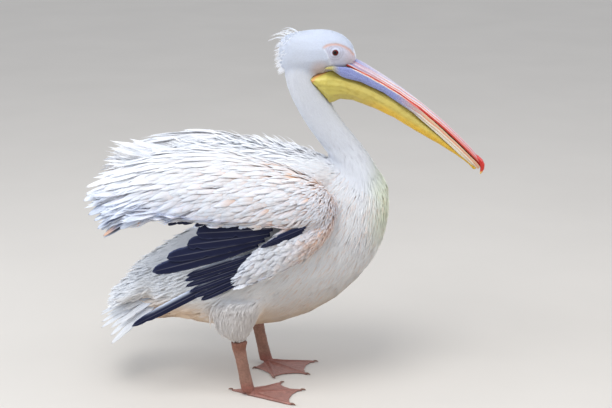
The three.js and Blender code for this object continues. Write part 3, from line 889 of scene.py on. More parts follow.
def lay(surface, roots, triangles, reach, lifts, stations, follow, free, turn, jitter, rng):
    """Walks blades over the surface from their roots. lifts is blade x row, the height over
    the surface at each row; follow is how closely a blade sinks to a surface falling away,
    and free how far it flies straight on where the surface ends and faces backwards. turn is
    how fast it takes up the lie of the coat, and jitter how far blades stray from that."""
    count, rows = lifts.shape
    normal = unit(surface.at(surface.normals, triangles))
    loose = looseness(free, normal)
    way = surface.at(surface.flow, triangles) * (1 - loose)
    way = unit(way + surface.at(surface.lie, triangles) * loose)
    out = np.tile(np.array(OUTWARDS), (count, 1))
    out[:, 1] *= np.sign(roots[:, 1])
    normal = unit(normal * (1 - loose) + out * loose)
    swing = rng.normal(0, 1, count)[:, None] * jitter[:, None]
    way = unit(way + np.cross(normal, way) * swing)
    centre = np.zeros((count, rows, 3))
    up = np.zeros((count, rows, 3))
    centre[:, 0] = roots + normal * lifts[:, :1]
    up[:, 0] = normal
    for r in range(1, rows):
        step = reach * (stations[r] - stations[r - 1])
        aim = centre[:, r - 1] + way * step[:, None]
        places, triangles = surface.nearest(aim)
        n = unit(surface.at(surface.normals, triangles))
        loose = looseness(free, n)
        height = dot(aim - places, n)
        error = lifts[:, r] - height
        spot = aim + n * np.where(error > 0, error, error * follow)[:, None] * (1 - loose)
        lie = surface.at(surface.flow, triangles)
        lie = unit(lie + np.cross(n, lie) * swing)
        bend = turn * (1 - loose)
        way = unit(unit(spot - centre[:, r - 1]) * (1 - bend) + lie * bend)
        centre[:, r] = spot
        up[:, r] = unit(n * 0.5 * (1 - loose) + up[:, r - 1] * (0.5 + 0.5 * loose))
    beyond = np.maximum(np.abs(centre[..., 1]) - WIDEST * MM, 0)
    centre[..., 1] -= np.sign(centre[..., 1]) * beyond * DRAWN_IN
    return centre, up


DEEPEST = 0.3  # how far roots sink, as a share of the flesh under them
THINNEST = 0.00012  # ridge of the flattest blade, in metres
USUAL_STYLE = dict(
    rise=0.22, curl=0.0, follow=0.8, free=0.0, turn=0.3, ring=LIGHT_RING,
    stations=(0, 0.3, 0.6, 0.85, 1), profile=(0.35, 0.9, 1, 0.72, 0),
)


def grow_coat(name, material, test, spacing, style, seed):
    """One piece of the coat: blades over the triangles whose part and place pass test.

    spacing is how far apart the roots are, and style maps where they are to the shape of
    their blades, in millimetres or shares:
    reach, half: length and half width
    low, high: height of root and tip over the surface, with ragged as the tips' scatter
    rise, curl: how soon a blade comes up, and how far its tip bends away
    crown: height of the ridge, as a share of the half width
    follow, free, turn, swing: how the blade is laid
    stations, profile: the rows along it and their widths
    ring: its section"""
    surface = made["surface"]
    rng = np.random.default_rng(settings("plumage").seed * 1000 + seed)
    middles = bird(surface.points[surface.triangles].mean(1)).T
    chosen = test(np.array(PARTS)[surface.labels[surface.triangles[:, 0]]], *middles)
    apart = np.full(len(chosen), 1.0) * (spacing(*middles) if callable(spacing) else spacing)
    apart = apart * settings("plumage").spacing * MM
    roots, triangles = scatter(surface, chosen, apart, rng)
    s = USUAL_STYLE | style(*bird(roots).T, rng)
    stations, profile = np.array(s["stations"]), np.array(s["profile"])
    count = len(roots)

    def number(key):
        return np.broadcast_to(s[key], count).astype(float)

    reach = number("reach") * MM * rng.uniform(0.82, 1.15, count)
    half = number("half") * MM * rng.uniform(0.85, 1.15, count)
    low = np.maximum(number("low") * MM, -DEEPEST * surface.at(surface.thick, triangles))
    high = (number("high") + rng.exponential(1.0, count) * number("ragged")) * MM
    rise = stations ** number("rise")[:, None]
    lifts = low[:, None] + (high - low)[:, None] * rise
    centre, up = lay(
        surface, roots, triangles, reach, lifts, stations,
        number("follow"), number("free"), s["turn"], number("swing"), rng,
    )
    curl = number("curl") * MM
    centre += up * (stations**2 * curl[:, None] * rng.normal(1, 0.5, (count, 1)))[..., None]
    width = half[:, None] * profile
    ridge = np.maximum(width * number("crown")[:, None], THINNEST)
    luck = rng.random(count)
    weights = unit_sum(surface.at(surface.weights, triangles))
    tint = [
        markings(roots * 0.5 + centre[:, r] * 0.5, weights, np.full(count, t), luck)
        for r, t in enumerate(stations)
    ]
    tint = np.stack(tint, 1) * rng.uniform(0.965, 1.02, (count, 1, 1))
    places = bake_places(roots, surface.at(surface.normals, triangles))
    mesh = blades(name, centre, up, width, ridge, s["ring"], tint, places)
    add_piece(name, mesh, made[material])


def unit_sum(weights):
    """Shares of the parts of the body, so that they add up to one."""
    return weights / weights.sum(1, keepdims=True)


# ---- skin ----------------------------------------------------------------------------------
def split_region(bm, test, rounds):
    """Halves the edges of the faces whose middle passes test, then relaxes them."""
    faces = [f for f in bm.faces if test(*bird(f.calc_center_median()))]
    edges = list({e for f in faces for e in f.edges})
    bmesh.ops.subdivide_edges(bm, edges=edges, cuts=1, use_grid_fill=True)
    points = get_points(bm)
    near = np.array([test(*p) for p in bird(points)])
    calm = relaxed(points, edge_array(bm), rounds)
    set_points(bm, np.where(near[:, None], calm, points))
    bm.normal_update()


def face_relief(points):
    """How far the bare face and its surroundings are pushed along the normals, in metres."""
    x, y, z = bird(points).T
    side = face_side(y)
    brow = distance_to_line(x, z, BROW_LINE)
    inside = in_face(x, z)
    relief = 0.8 * bell(brow, 0, 2.6) * side * ease(x, 88, 104)
    relief -= np.where(inside, 0.7 * ease(brow, 1, 7), 0) * side
    r = from_eye(x, z)
    ring = bell(r, 15.5, 1.6) * 0.35 + bell(r, 19.5, 1.6) * 0.22
    wrinkle = noise(points * (1, 1, 2.2), 0.0035, 5) * 0.16
    relief += np.where(inside, ring + wrinkle, 0) * side
    return relief * MM


# The lids, in metres from the middle of the eyeball as seen from the side, or from its skin.
LID_OPENING = 0.0064  # half height of the opening
LID_LENGTHENED = 0.0005  # what its half length has over that
LID_THICK = 0.0007  # over the eyeball
LID_RIM = 0.0006  # what the rim of the opening stands up more
LID_SUNK = 0.0032  # how far the skin under the opening lies inside the eyeball
LID_FOOT = 0.83  # where the lid leaves the eyeball, as a share of its radius
LID_SLOPE = 0.0030  # how fast it runs out from there
LID_FULL, LID_END = 0.0112, 0.0168  # where it starts to give way to the face, and ends


def eye_middle(side):
    """The middle of one eyeball."""
    return EYE.x, side * abs(EYE.y), EYE.z


def set_lids(points):
    """Moves the skin round each eye into lids that lap over the eyeball."""
    radius = settings("eye").radius
    for side in SIDES.values():
        centre = np.array(eye_middle(side))
        near = np.flatnonzero(np.linalg.norm(points - centre, axis=1) < 0.026)
        p = points[near]
        off = p - centre
        r = np.hypot(off[:, 0], off[:, 2])
        out = off[:, 1] * side
        facing = out > 0
        open_to = LID_OPENING + LID_LENGTHENED * (off[:, 0] / np.maximum(r, 1e-6)) ** 2
        edge = np.sqrt(radius**2 - open_to**2)
        over = radius + LID_THICK
        foot = LID_FOOT * radius
        lid = np.sqrt(over**2 - np.minimum(r, foot) ** 2)
        lid = lid * np.exp(-np.maximum(r - foot, 0) / LID_SLOPE)
        lid = lid + LID_RIM * bell(r, open_to, 0.0012)
        amount = ease(r, LID_END, LID_FULL)
        target = out * (1 - amount) + np.maximum(lid, np.minimum(out, edge)) * amount
        target = np.where(r < open_to - 0.0004, edge - LID_SUNK, target)
        out = np.where(facing & (r < LID_END), target, out)
        points[near, 1] = centre[1] + side * out
    return points


def leg_relief(points):
    """How far scutes down the shins, the ankles' knobs and creases fanning over the webs
    are pushed along the normals, in metres."""
    x, y, z = bird(points).T
    relief = np.zeros(len(x))
    for name, side in SIDES.items():
        lo, hi = (bird(v[:]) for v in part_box("leg_" + name))
        mine = np.sign(y) == side
        heel = np.array([hi[0] - 19, (lo[1] + hi[1]) / 2])
        lean = x - (heel[0] - 0.19 * z)
        front = ease(lean, -4, 8) * ease(z, 16, 26)
        scute = np.abs(np.sin(z * math.pi / 5.6 + lean * 0.05)) ** 0.35
        relief += np.where(mine, front * (scute - 0.85) * 0.9, 0)
        turn = np.arctan2(y - heel[1], x - heel[0])
        out = np.hypot(x - heel[0], y - heel[1])
        web = ease(z, 9, 5) * ease(out, 26, 44)
        relief += np.where(mine, web * 0.22 * np.sin(turn * 46 + 2.5 * noise(points, 0.02, 3)), 0)
        knob = bell(z, 131, 8) * ease(lean, 9, 17)
        relief += np.where(mine, knob * 3.0, 0)
    relief += 0.35 * noise(points, 0.006, 4) * ease(z, 10, 30)
    return relief * MM


SOCKET_FILL = 0.0012  # what fills an eye's socket is this much larger than the eyeball


class PELICAN_OT_skin(bpy.types.Operator):
    """Build the one skin of the body, head, legs and feet"""

    bl_idname = "pelican.skin"
    bl_label = "Skin"

    def execute(self, context):
        s = settings("skin")
        flesh = merged(FLESH, 0.35 * MM)
        for side in SIDES.values():  # fills the sockets, for lids to be cut over the eyeballs
            bmesh.ops.create_uvsphere(
                flesh, u_segments=32, v_segments=16, radius=settings("eye").radius + SOCKET_FILL,
                matrix=Matrix.Translation(eye_middle(side)),
            )
        body = voxelled(flesh, s.body_cell, 10)
        split_region(body, lambda x, y, z: z > 738 and x > -30, 4)
        split_region(body, lambda x, y, z: 84 < x < 172 and z > 752 and abs(y) > 12, 3)
        split_region(body, lambda x, y, z: from_eye(x, z) < 13 and abs(y) > 12, 2)
        surface = Surface(body, region_labels(get_points(body)))
        made["surface"] = surface
        self.sink(body, surface)

        legs = voxelled(merged(BARE, 0.2 * MM), s.leg_cell, 4, bodies=2)
        points = get_points(legs)
        points += get_normals(legs) * leg_relief(points)[:, None]
        points[:, 2] = np.maximum(points[:, 2], 0.0)
        set_points(legs, points)

        skin = self.joined(body, legs)
        bmesh.ops.triangulate(skin, faces=skin.faces)
        points = get_points(skin)
        mesh = mesh_of(skin, "skin")
        set_tint(mesh, self.tones(points))
        x, y, z = bird(points).T
        set_number(mesh, "Scaly", ease(z, 150, 128) * ease(np.abs(y), 0, 2))
        replaced = [n for n in FLESH if n != "tail"] + BARE
        add_piece("skin", mesh, self.material(), replaced)
        return {"FINISHED"}

    def sink(self, body, surface):
        """Moves the body's skin from the outline of the coat to under it, and shapes the face.
        Leaves how thick the flesh is at each vertex with the surface."""
        points = surface.points.copy()
        normals = surface.normals
        depth = np.array(list(COAT_DEPTH.values()))[surface.labels]
        depth = spread(depth[:, None], surface.edges, 10)[:, 0] * MM
        ray = surface.tree.ray_cast
        pairs = zip((points - normals * 1e-4).tolist(), (-normals).tolist())
        thick = np.array([ray(start, way)[3] or 1.0 for start, way in pairs])
        surface.thick = spread(np.minimum(thick, 0.05)[:, None], surface.edges, 6)[:, 0]
        depth = np.minimum(depth, surface.thick * 0.32) * (1 - face_amount(*bird(points).T))
        points -= normals * depth[:, None]
        points += normals * face_relief(points)[:, None]
        set_points(body, set_lids(points))

    def joined(self, body, legs):
        """Body and legs as one closed surface."""
        mesh = bpy.data.meshes.new("scratch")
        legs.to_mesh(mesh)
        legs.free()
        other = bpy.data.objects.new("scratch_legs", mesh)
        bpy.context.scene.collection.objects.link(other)
        bmesh.ops.triangulate(body, faces=body.faces)
        whole = with_modifier(body, "BOOLEAN", operation="UNION", solver="MANIFOLD", object=other)
        bpy.data.objects.remove(other)
        return whole

    def tones(self, points):
        """Colour of the skin: the coat's markings under it, and the bare face and legs."""
        s = settings("skin")
        surface = made["surface"]
        _, triangles = surface.nearest(points)
        weights = unit_sum(surface.at(surface.weights, triangles))
        half = np.full(len(points), 0.35)
        tone = markings(points, weights, half, half)
        x, y, z = bird(points).T
        face = face_amount(x, y, z)[:, None]
        skin = mix(plain(s.bare_face, len(x)), s.brow, 0.22 * ease(x, 126, 156))
        r = from_eye(x, z)
        rings = bell(r, 12.4, 1.1) + bell(r, 17.4, 1.2)
        skin = mix(skin, np.array(s.bare_face[:]) * (0.5, 0.46, 0.5), 0.35 * rings)
        # Painted shade: the skin at the rim of the lids, next to the eyeball, is darkened almost
        # to black.
        skin = mix(skin, np.array(s.brow[:]) * 0.16, 0.85 * ease(r, 7.7, 6.7))
        skin = mix(skin, s.brow, brow_amount(x, y, z) * 0.7 * ease(x, 82, 96))
        tone = tone * (1 - face) + skin * face
        leg = ease(z, 150, 140)
        low = ease(z, 24, 8)
        shank = mix(plain(s.shank, len(x)), s.ankle, ease(z, 96, 124) * 0.8)
        shank = mix(shank, s.foot, ease(z, 40, 18))
        toes = mix(plain(s.foot, len(x)), s.web, ease(z, 7.0, 4.6))
        # Painted shade: the toes darken along their bottom, where they meet the floor.
        toes = mix(toes, s.sole, ease(z, 2.4, 1.2) * 0.8)
        patch = noise(points, 0.011, 8) * 0.5 + noise(points, 0.004, 9) * 0.5
        bare = mix(shank, toes, low) * (1 + 0.24 * patch)[:, None]
        return mix(tone, bare, leg)

    def material(self):
        s = Shader("pelican skin", roughness=0.52, subsurface_weight=0.0)
        tint = s.attribute("Tint", "Color")
        fleck = s.ramp(s.noise(240.0, 4.0), [(0.3, (0.86,) * 3), (0.7, (1.0,) * 3)])
        scaly = s.attribute("Scaly")
        plate = {"Vector": s.place(), "Scale": 420.0}
        cells = s.node("TexVoronoi", plate, feature="DISTANCE_TO_EDGE").outputs["Distance"]
        plates = s.math("MULTIPLY", s.math("MINIMUM", cells, 0.18), scaly)
        gap = s.ramp(cells, [(0.0, (0.62, 0.56, 0.54)), (0.16, (1.0,) * 3)])
        tone = s.blend("MULTIPLY", 1.0, tint, fleck)
        s.wire("Base Color", s.blend("MULTIPLY", scaly, tone, gap))
        s.bump(s.math("MULTIPLY_ADD", plates, 3.0, s.noise(700.0, 4.0)), 0.5, 0.0006)
        return s.material


# ---- the coat ------------------------------------------------------------------------------
class PELICAN_OT_coat_head(bpy.types.Operator):
    """Lay the shortest feathers, over the head"""

    bl_idname = "pelican.coat_head"
    bl_label = "Coat of the head"

    def execute(self, context):
        def feathered(part, x, y, z):
            bare = in_face(x, z) & (face_side(y) > 0.5)
            under_bill = ((x > 150) & (z < 800)) | (x > 159) | ((x > 112) & (z < 772))
            return (part == "head") & ~bare & ~under_bill & (from_eye(x, z) > 9)

        def style(x, y, z, rng):
            back = ease(x, 40, -4) * ease(z, 762, 790)
            return dict(
                reach=5.0 + 2.5 * ease(x, 90, 20) + 9 * back, half=0.8 + 0.1 * back, low=-1.3,
                high=0.25 + 0.5 * back, ragged=0.08 + 0.7 * back, crown=0.2, swing=0.12,
                stations=(0, 0.5, 1), profile=(0.8, 1, 0),
            )

        grow_coat("coat_head", "fine_plumage", feathered, 1.9, style, 1)
        return {"FINISHED"}


class PELICAN_OT_coat_neck(bpy.types.Operator):
    """Lay the velvet of the neck"""

    bl_idname = "pelican.coat_neck"
    bl_label = "Coat of the neck"

    def execute(self, context):
        def on_neck(part, x, y, z):
            return (part == "neck_upper") | (part == "neck_lower")

        def spacing(x, y, z):
            return 2.6 + 1.5 * ease(z, 610, 500)

        def style(x, y, z, rng):
            low = ease(z, 610, 500)
            return dict(
                reach=10 + 30 * low, half=0.95 + 0.6 * low, low=-2.5 - 1.0 * low,
                high=0.2 + 0.3 * low, ragged=0.08 + 0.9 * low * ease(x, 160, 215),
                crown=0.2, swing=0.1, stations=(0, 0.4, 0.75, 1), profile=(0.7, 1, 0.7, 0),
            )

        grow_coat("coat_neck", "fine_plumage", on_neck, spacing, style, 2)
        return {"FINISHED"}


class PELICAN_OT_coat_breast(bpy.types.Operator):
    """Lay the long narrow feathers of breast, flanks and belly"""

    bl_idname = "pelican.coat_breast"
    bl_label = "Coat of breast and belly"

    def execute(self, context):
        def style(x, y, z, rng):
            front = ease(x, 120, 215)
            rear = ease(x, -60, -220)
            return dict(
                reach=46 - 8 * front + 10 * rear, half=1.75 + 1.4 * rear, low=-5.8, high=0.3,
                ragged=0.25 + 0.4 * front + 0.5 * rear, crown=0.16, swing=0.12, follow=0.85,
                free=rear, curl=2.4 * ease(x, 190, 232),
                stations=(0, 0.4, 0.75, 1), profile=(0.6, 1, 0.72, 0),
            )

        def spacing(x, y, z):
            return 4.4 + 1.6 * ease(x, 0, -160)

        halves = {
            "coat_breast": lambda part, x, y, z: (part == "trunk") & (x > 40),
            "coat_belly": lambda part, x, y, z: (part == "trunk") & (x <= 40),
        }
        for seed, (name, half) in enumerate(halves.items(), 3):
            grow_coat(name, "fine_plumage", half, spacing, style, seed)
        return {"FINISHED"}


class PELICAN_OT_coat_thighs(bpy.types.Operator):
    """Lay the feathers of the shins, down to the bare ankle"""

    bl_idname = "pelican.coat_thighs"
    bl_label = "Coat of the thighs"

    def execute(self, context):
        def style(x, y, z, rng):
            return dict(
                reach=32.0 - 20 * ease(z, 186, 152), half=1.4, low=-4.8,
                high=0.4 - 2.4 * ease(z, 168, 150), ragged=0.5, crown=0.18, swing=0.1,
                follow=0.25 + 0.65 * ease(z, 182, 156),
            )

        def above_ankle(part, x, y, z):
            return (part == "thigh") & (z > 142)

        grow_coat("coat_thighs", "fine_plumage", above_ankle, 3.3, style, 6)
        return {"FINISHED"}


class PELICAN_OT_coat_mantle(bpy.types.Operator):
    """Lay the loose feathers of the cape over the back"""

    bl_idname = "pelican.coat_mantle"
    bl_label = "Coat of the mantle"

    def execute(self, context):
        def style(x, y, z, rng):
            top = ease(np.abs(y), 60, 10) * ease(z, 545, 570)
            front = ease(x, 30, 100)
            return dict(
                reach=58 - 30 * front, half=4.7 - 2.7 * front, low=-6.3, high=0.4 + 1.0 * top,
                ragged=0.3 + 3.0 * top, crown=0.12, swing=0.16, follow=0.7 - 0.4 * top, free=1.0,
                curl=(2.8 - 0.8 * front) * top * rng.choice([1.0, 1.4, 3.8], len(x)),
                stations=(0, 0.35, 0.65, 0.87, 1), profile=(0.5, 1, 0.92, 0.5, 0),
            )

        def on_mantle(part, x, y, z):
            return part == "mantle"

        def spacing(x, y, z):
            return 7.2 - 3.6 * ease(x, 30, 100)

        grow_coat("coat_mantle", "plumage", on_mantle, spacing, style, 7)
        return {"FINISHED"}


class PELICAN_OT_scapulars(bpy.types.Operator):
    """Lay the long loose feathers that stream back between the wings"""

    bl_idname = "pelican.scapulars"
    bl_label = "Scapulars"

    def execute(self, context):
        def on_back(part, x, y, z):
            back = (part == "mantle") | ((part == "arm") & (z > 540 + 0.12 * (x + 200)))
            return back & (x < -110) & (x > -262) & (np.abs(y) < 118)

        def style(x, y, z, rng):
            return dict(
                reach=120.0 + 26 * ease(x, -150, -250),
                half=6.0 * rng.choice([0.7, 1.0, 1.25], len(x)), low=-2.0, high=2.0, ragged=1.0,
                crown=0.1, swing=0.08, follow=0.15, free=1.0, curl=-4.0, rise=0.6, turn=0.1,
                ring=VANE_RING, stations=(0, 0.22, 0.46, 0.7, 0.88, 1),
                profile=(0.35, 0.8, 1, 0.85, 0.5, 0),
            )

        grow_coat("scapulars", "plumage", on_back, 8.6, style, 13)
        return {"FINISHED"}


class PELICAN_OT_coat_wings(bpy.types.Operator):
    """Lay the long pointed coverts of both wings"""

    bl_idname = "pelican.coat_wings"
    bl_label = "Coverts of the wings"

    def execute(self, context):
        def style(x, y, z, rng):
            wrist = ease(x, 20, 108)
            hand = ease(z, 440, 412)
            return dict(
                reach=72 - 50 * wrist + 26 * ease(x, -120, -300) - 36 * hand * (1 - wrist),
                half=(5.2 - 3.7 * wrist) * rng.choice([0.75, 1.0, 1.3], len(x)), low=-6.2,
                high=0.5, ragged=0.9 - 0.15 * wrist, crown=0.12, swing=0.1 + 0.2 * wrist,
                follow=0.5, free=1.0, curl=1.1 * wrist, turn=0.2,
                stations=(0, 0.32, 0.62, 0.86, 1), profile=(0.45, 1, 0.95, 0.55, 0),
            )

        def spacing(x, y, z):
            return 9.4 - 5.6 * ease(x, 20, 108)

        for seed, (name, side) in enumerate(SIDES.items(), 8):

            def on_wing(part, x, y, z):
                return ((part == "arm") | (part == "hand")) & (y * side > 0)

            wing = "coat_wing_" + name
            grow_coat(wing, "plumage", on_wing, spacing, style, seed)
        return {"FINISHED"}


class PELICAN_OT_coat_tail(bpy.types.Operator):
    """Lay the coverts over and under the root of the tail"""

    bl_idname = "pelican.coat_tail"
    bl_label = "Tail coverts"

    def execute(self, context):
        def style(x, y, z, rng):
            return dict(
                reach=56 - 14 * ease(x, -300, -380), half=3.4, low=-5.3, high=0.6, ragged=0.7,
                crown=0.12, swing=0.14, follow=0.12, free=1.0,
                stations=(0, 0.35, 0.65, 0.87, 1), profile=(0.5, 1, 0.92, 0.5, 0),
            )

        def on_tail(part, x, y, z):
            return (part == "tail") & (x > -386)

        grow_coat("coat_tail", "plumage", on_tail, 6.4, style, 10)
        return {"FINISHED"}


# ---- large feathers --------------------------------------------------------------------------
VANE_ROWS = 26
VANE_COLUMNS = np.array([-1, -0.72, -0.38, -0.1, 0, 0.1, 0.38, 0.72, 1])
VANE_THICK = 0.0004  # metres
SHAFT_HEIGHT = 0.0011  # metres, at the root
CAMBER = 0.13  # how far the edges droop, as a share of the half width
SWEEP = 0.1  # how far the barbs slant towards the tip


def vane(root, tip, face, half, rng, sag, point, lead=1.0, tilt=0.0, notches=3, root_width=0.4):
    """One large feather as a closed blade with a raised shaft: its upper and lower points and
    how far across and along each is.

    Lengths are in metres. half is the half width of the trailing vane and lead the leading
    one's share of it; point is where the tip starts to narrow, face the way the upper side
    looks, and tilt how far it is rolled about its shaft. sag bends it up in the middle,
    notches is how many gaps its barbs have, and root_width how wide it starts."""
    root, tip, face = (np.asarray(v, float) for v in (root, tip, face))
    s = np.linspace(0, 1, VANE_ROWS)
    long = tip - root
    span = np.linalg.norm(long)
    way = long / span
    side = unit(np.cross(way, face))
    out = np.cross(side, way)
    cos, sin = math.cos(tilt), math.sin(tilt)
    side, out = side * cos + out * sin, out * cos - side * sin
    narrow = np.where(s > point, np.sqrt(np.maximum(1 - ((s - point) / (1 - point)) ** 2, 0)), 1)
    wide = half * np.minimum(1, root_width + (1 - root_width) * s / 0.35) * narrow
    wide *= 1 + rng.normal(0, 0.02, VANE_ROWS)
    cut = np.ones((VANE_ROWS, 2))
    for _ in range(notches):
        cut[rng.integers(4, VANE_ROWS - 2), rng.integers(0, 2)] = rng.uniform(0.55, 0.85)
    share = np.where(VANE_COLUMNS < 0, lead, 1.0)
    reach = np.where(VANE_COLUMNS < 0, cut[:, :1], cut[:, 1:])
    across = VANE_COLUMNS * share * wide[:, None] * reach
    spine = root + long * s[:, None] + out * (sag * 4 * s * (1 - s))[:, None]
    camber = -CAMBER * across**2 / half
    shaft = bell(VANE_COLUMNS, 0, 0.06) * (1 - 0.8 * s[:, None]) * SHAFT_HEIGHT
    ripple = rng.normal(0, 0.00012, (VANE_ROWS, len(VANE_COLUMNS)))
    slip = SWEEP * np.abs(across)
    upper = (
        spine[:, None]
        + side * across[..., None]
        + out * (camber + shaft + ripple)[..., None]
        + way * slip[..., None] * (s[:, None, None] < 0.97)
    )
    lower = upper - out * (VANE_THICK + shaft * 0.9)[..., None]
    grid = np.stack(np.broadcast_arrays((VANE_COLUMNS + 1) / 2, s[:, None]), -1)
    return upper, lower, grid


def vane_faces():
    """Triangles of one closed feather: upper face, lower face and the rim between. The second
    list marks those of the two faces, which are shaded smooth."""
    rows, k = VANE_ROWS, len(VANE_COLUMNS)
    faces = []
    below = rows * k
    for r in range(rows - 1):
        for i in range(k - 1):
            a, b, c, d = r * k + i, r * k + i + 1, (r + 1) * k + i + 1, (r + 1) * k + i
            faces += [(a, b, c), (a, c, d)]
            faces += [(below + c, below + b, below + a), (below + d, below + c, below + a)]
    broad = len(faces)
    rim = list(range(k))
    rim += [r * k + k - 1 for r in range(1, rows)]
    rim += [(rows - 1) * k + i for i in range(k - 2, -1, -1)]
    rim += [r * k for r in range(rows - 2, 0, -1)]
    for a, b in zip(rim, rim[1:] + rim[:1]):
        faces += [(b, a, below + a), (b, below + a, below + b)]
    return np.array(faces), np.arange(len(faces)) < broad


def add_vanes(node, feathers, tint):
    """Joins large feathers into the piece that stands for a CAD node. tint(points, grid, i)
    colours feather i. On the unwrap each side of a feather has a tall tile of its own."""
    name = node + "_feathers"
    faces, broad = vane_faces()
    side = VANE_ROWS * len(VANE_COLUMNS)
    verts, tones, vanes, index = [], [], [], []
    for i, (upper, lower, grid) in enumerate(feathers):
        points = np.concatenate([upper.reshape(-1, 3), lower.reshape(-1, 3)])
        flat = np.concatenate([grid.reshape(-1, 2)] * 2)
        index.append(faces + i * 2 * side)
        verts.append(points)
        tones.append(tint(points, flat, i))
        vanes.append(flat)
    smooth = np.tile(broad, len(feathers))
    mesh = mesh_from(name, np.concatenate(verts), np.concatenate(index), smooth)
    set_tint(mesh, np.concatenate(tones))
    uv = np.concatenate(vanes)
    tile = np.arange(len(uv)) // side
    columns = math.ceil(math.sqrt(len(feathers) * 2 * 4))
    lines = math.ceil(len(feathers) * 2 / columns)
    corner = np.stack([tile % columns / columns, tile // columns / lines], 1)
    bake = corner + (0.04 + 0.92 * uv) / (columns, lines)
    loops = np.concatenate(index).ravel()
    add_map(mesh, "OFBake", bake[loops])
    add_map(mesh, "Vane", uv[loops])
    add_piece(name, mesh, made["flight"], [node])


def between(table, count):
    """Rows of a short table, evenly filled in to a longer one."""
    table = np.array(table, float)
    s = np.linspace(0, len(table) - 1, count)
    return np.stack([np.interp(s, np.arange(len(table)), column) for column in table.T], 1)


def dark_tint(points, grid, i):
    """Blue-black web, paler along the rim and the tip, partly a real pale edge and partly painted
    highlight, with a pale shaft.
    """
    p = settings("plumage")
    across, along = grid[:, 0] * 2 - 1, grid[:, 1]
    tone = plain(p.flight, len(points))
    # Paler rim and tip: partly the feather's own pale edge, partly a painted highlight of its
    # sheen.
    rim_and_glint = ease(np.abs(across), 0.78, 1.0) * (0.15 + 0.5 * along)
    rim_and_glint = np.maximum(rim_and_glint, ease(along, 0.95, 1.0) * 0.4)
    rim_and_glint = rim_and_glint * (0.6 + 0.4 * noise(points, 0.012, i))
    tone = mix(tone, p.flight_edge, np.clip(rim_and_glint, 0, 1))
    shaft = bell(across, 0, 0.05) * (0.26 - 0.16 * along)
    return mix(tone, p.shaft, shaft)


def ends(row, side):
    """Root and tip of a feather, from a row of one of the tables below."""
    x, y, z, tip_x, tip_y, tip_z = row
    return at(x, y * side, z), at(tip_x, tip_y * side, tip_z)


# Roots and tips of the large feathers in the bird's own millimetres: x, y outwards, z.
INNER = {
    "right": [
        (-24, 160, 428, -196, 169, 420), (-28, 159, 419, -206, 168, 399),
        (-36, 158, 409, -240, 168, 378), (-46, 157, 399, -276, 167, 352),
        (-58, 156, 390, -298, 165, 327),
    ],
    "left": [
        (-26, 160, 410, -176, 160, 354), (-32, 158, 398, -214, 158, 332),
        (-42, 156, 384, -250, 156, 308), (-52, 154, 370, -282, 153, 280),
    ],
}
OUTER = {
    "right": [
        (-64, 154, 366, -222, 158, 314), (-68, 153, 352, -228, 156, 299),
        (-74, 151, 336, -222, 155, 281), (-80, 150, 320, -208, 153, 264),
        (-86, 149, 306, -190, 151, 254),
    ],
    "left": [
        (-66, 152, 348, -226, 152, 274), (-74, 151, 328, -214, 151, 256),
        (-84, 149, 308, -192, 149, 246),
    ],
}
LONGEST = {
    "right": (-70, 151, 342, -353, 140, 185),
    "left": (-70, 150, 334, -346, 138, 190),
}
ALULA = [(50, 166, 433, -30, 176, 402), (42, 166, 421, -52, 175, 388)]
TERTIALS = {
    "right": [
        (-280, 112, 556, -446, 126, 534), (-276, 122, 546, -452, 132, 506),
        (-272, 131, 534, -450, 137, 478), (-266, 139, 521, -440, 142, 450),
        (-260, 146, 508, -424, 146, 423), (-256, 151, 496, -405, 149, 398),
        (-252, 156, 486, -366, 154, 424), (-248, 161, 477, -330, 160, 440),
    ],
    "left": [
        (-280, 112, 552, -414, 126, 522), (-276, 122, 542, -420, 132, 494),
        (-272, 132, 530, -416, 138, 468), (-266, 142, 517, -402, 144, 446),
        (-258, 150, 504, -376, 150, 432), (-248, 160, 486, -338, 160, 438),
    ],
}


SECONDARIES = 14  # a wing


class PELICAN_OT_primaries(bpy.types.Operator):
    """Build the dark primaries and the alula of both wings"""

    bl_idname = "pelican.primaries"
    bl_label = "Primaries and alula"

    def execute(self, context):
        rng = np.random.default_rng(41)
        for name, side in SIDES.items():
            face = (0, side, 0)
            inner = [
                vane(*ends(row, side), face, 19 * MM, rng, sag=4 * MM, lead=0.8,
                     point=0.84 - 0.05 * i, tilt=side * 0.12, notches=2)
                for i, row in enumerate(between(INNER[name], 4))
            ]
            add_vanes("primaries_inner_" + name, inner, dark_tint)
            outer = [
                vane(*ends(row, side), face, 9.5 * MM, rng, sag=2 * MM, lead=0.7, point=0.6,
                     tilt=side * 0.16, notches=1)
                for row in between(OUTER[name], len(OUTER[name]) + 1)
            ]
            outer.append(
                vane(*ends(LONGEST[name], side), face, 14 * MM, rng, sag=5 * MM, lead=0.7,
                     point=0.62, tilt=side * 0.05)
            )

            def highlighted_rims(points, grid, i):
                tone = dark_tint(points, grid, i)
                # Painted highlight: a pale trailing rim on some of the outer primaries.
                rim = ease(-side * (grid[:, 0] * 2 - 1), 0.6, 0.85)
                rim = rim * ease(grid[:, 1], 0.1, 0.3) * ease(grid[:, 1], 0.9, 0.7)
                return mix(tone, settings("plumage").cool, rim * (0.9, 0.25, 0.65)[i % 3])

            add_vanes("primaries_outer_" + name, outer, highlighted_rims)
            alula = [
                vane(*ends(row, side), face, 8 * MM, rng, sag=2 * MM, lead=0.7, point=0.55,
                     tilt=side * 0.1)
                for row in between(ALULA, 3)
            ]
            add_vanes("alula_" + name, alula, dark_tint)
        return {"FINISHED"}


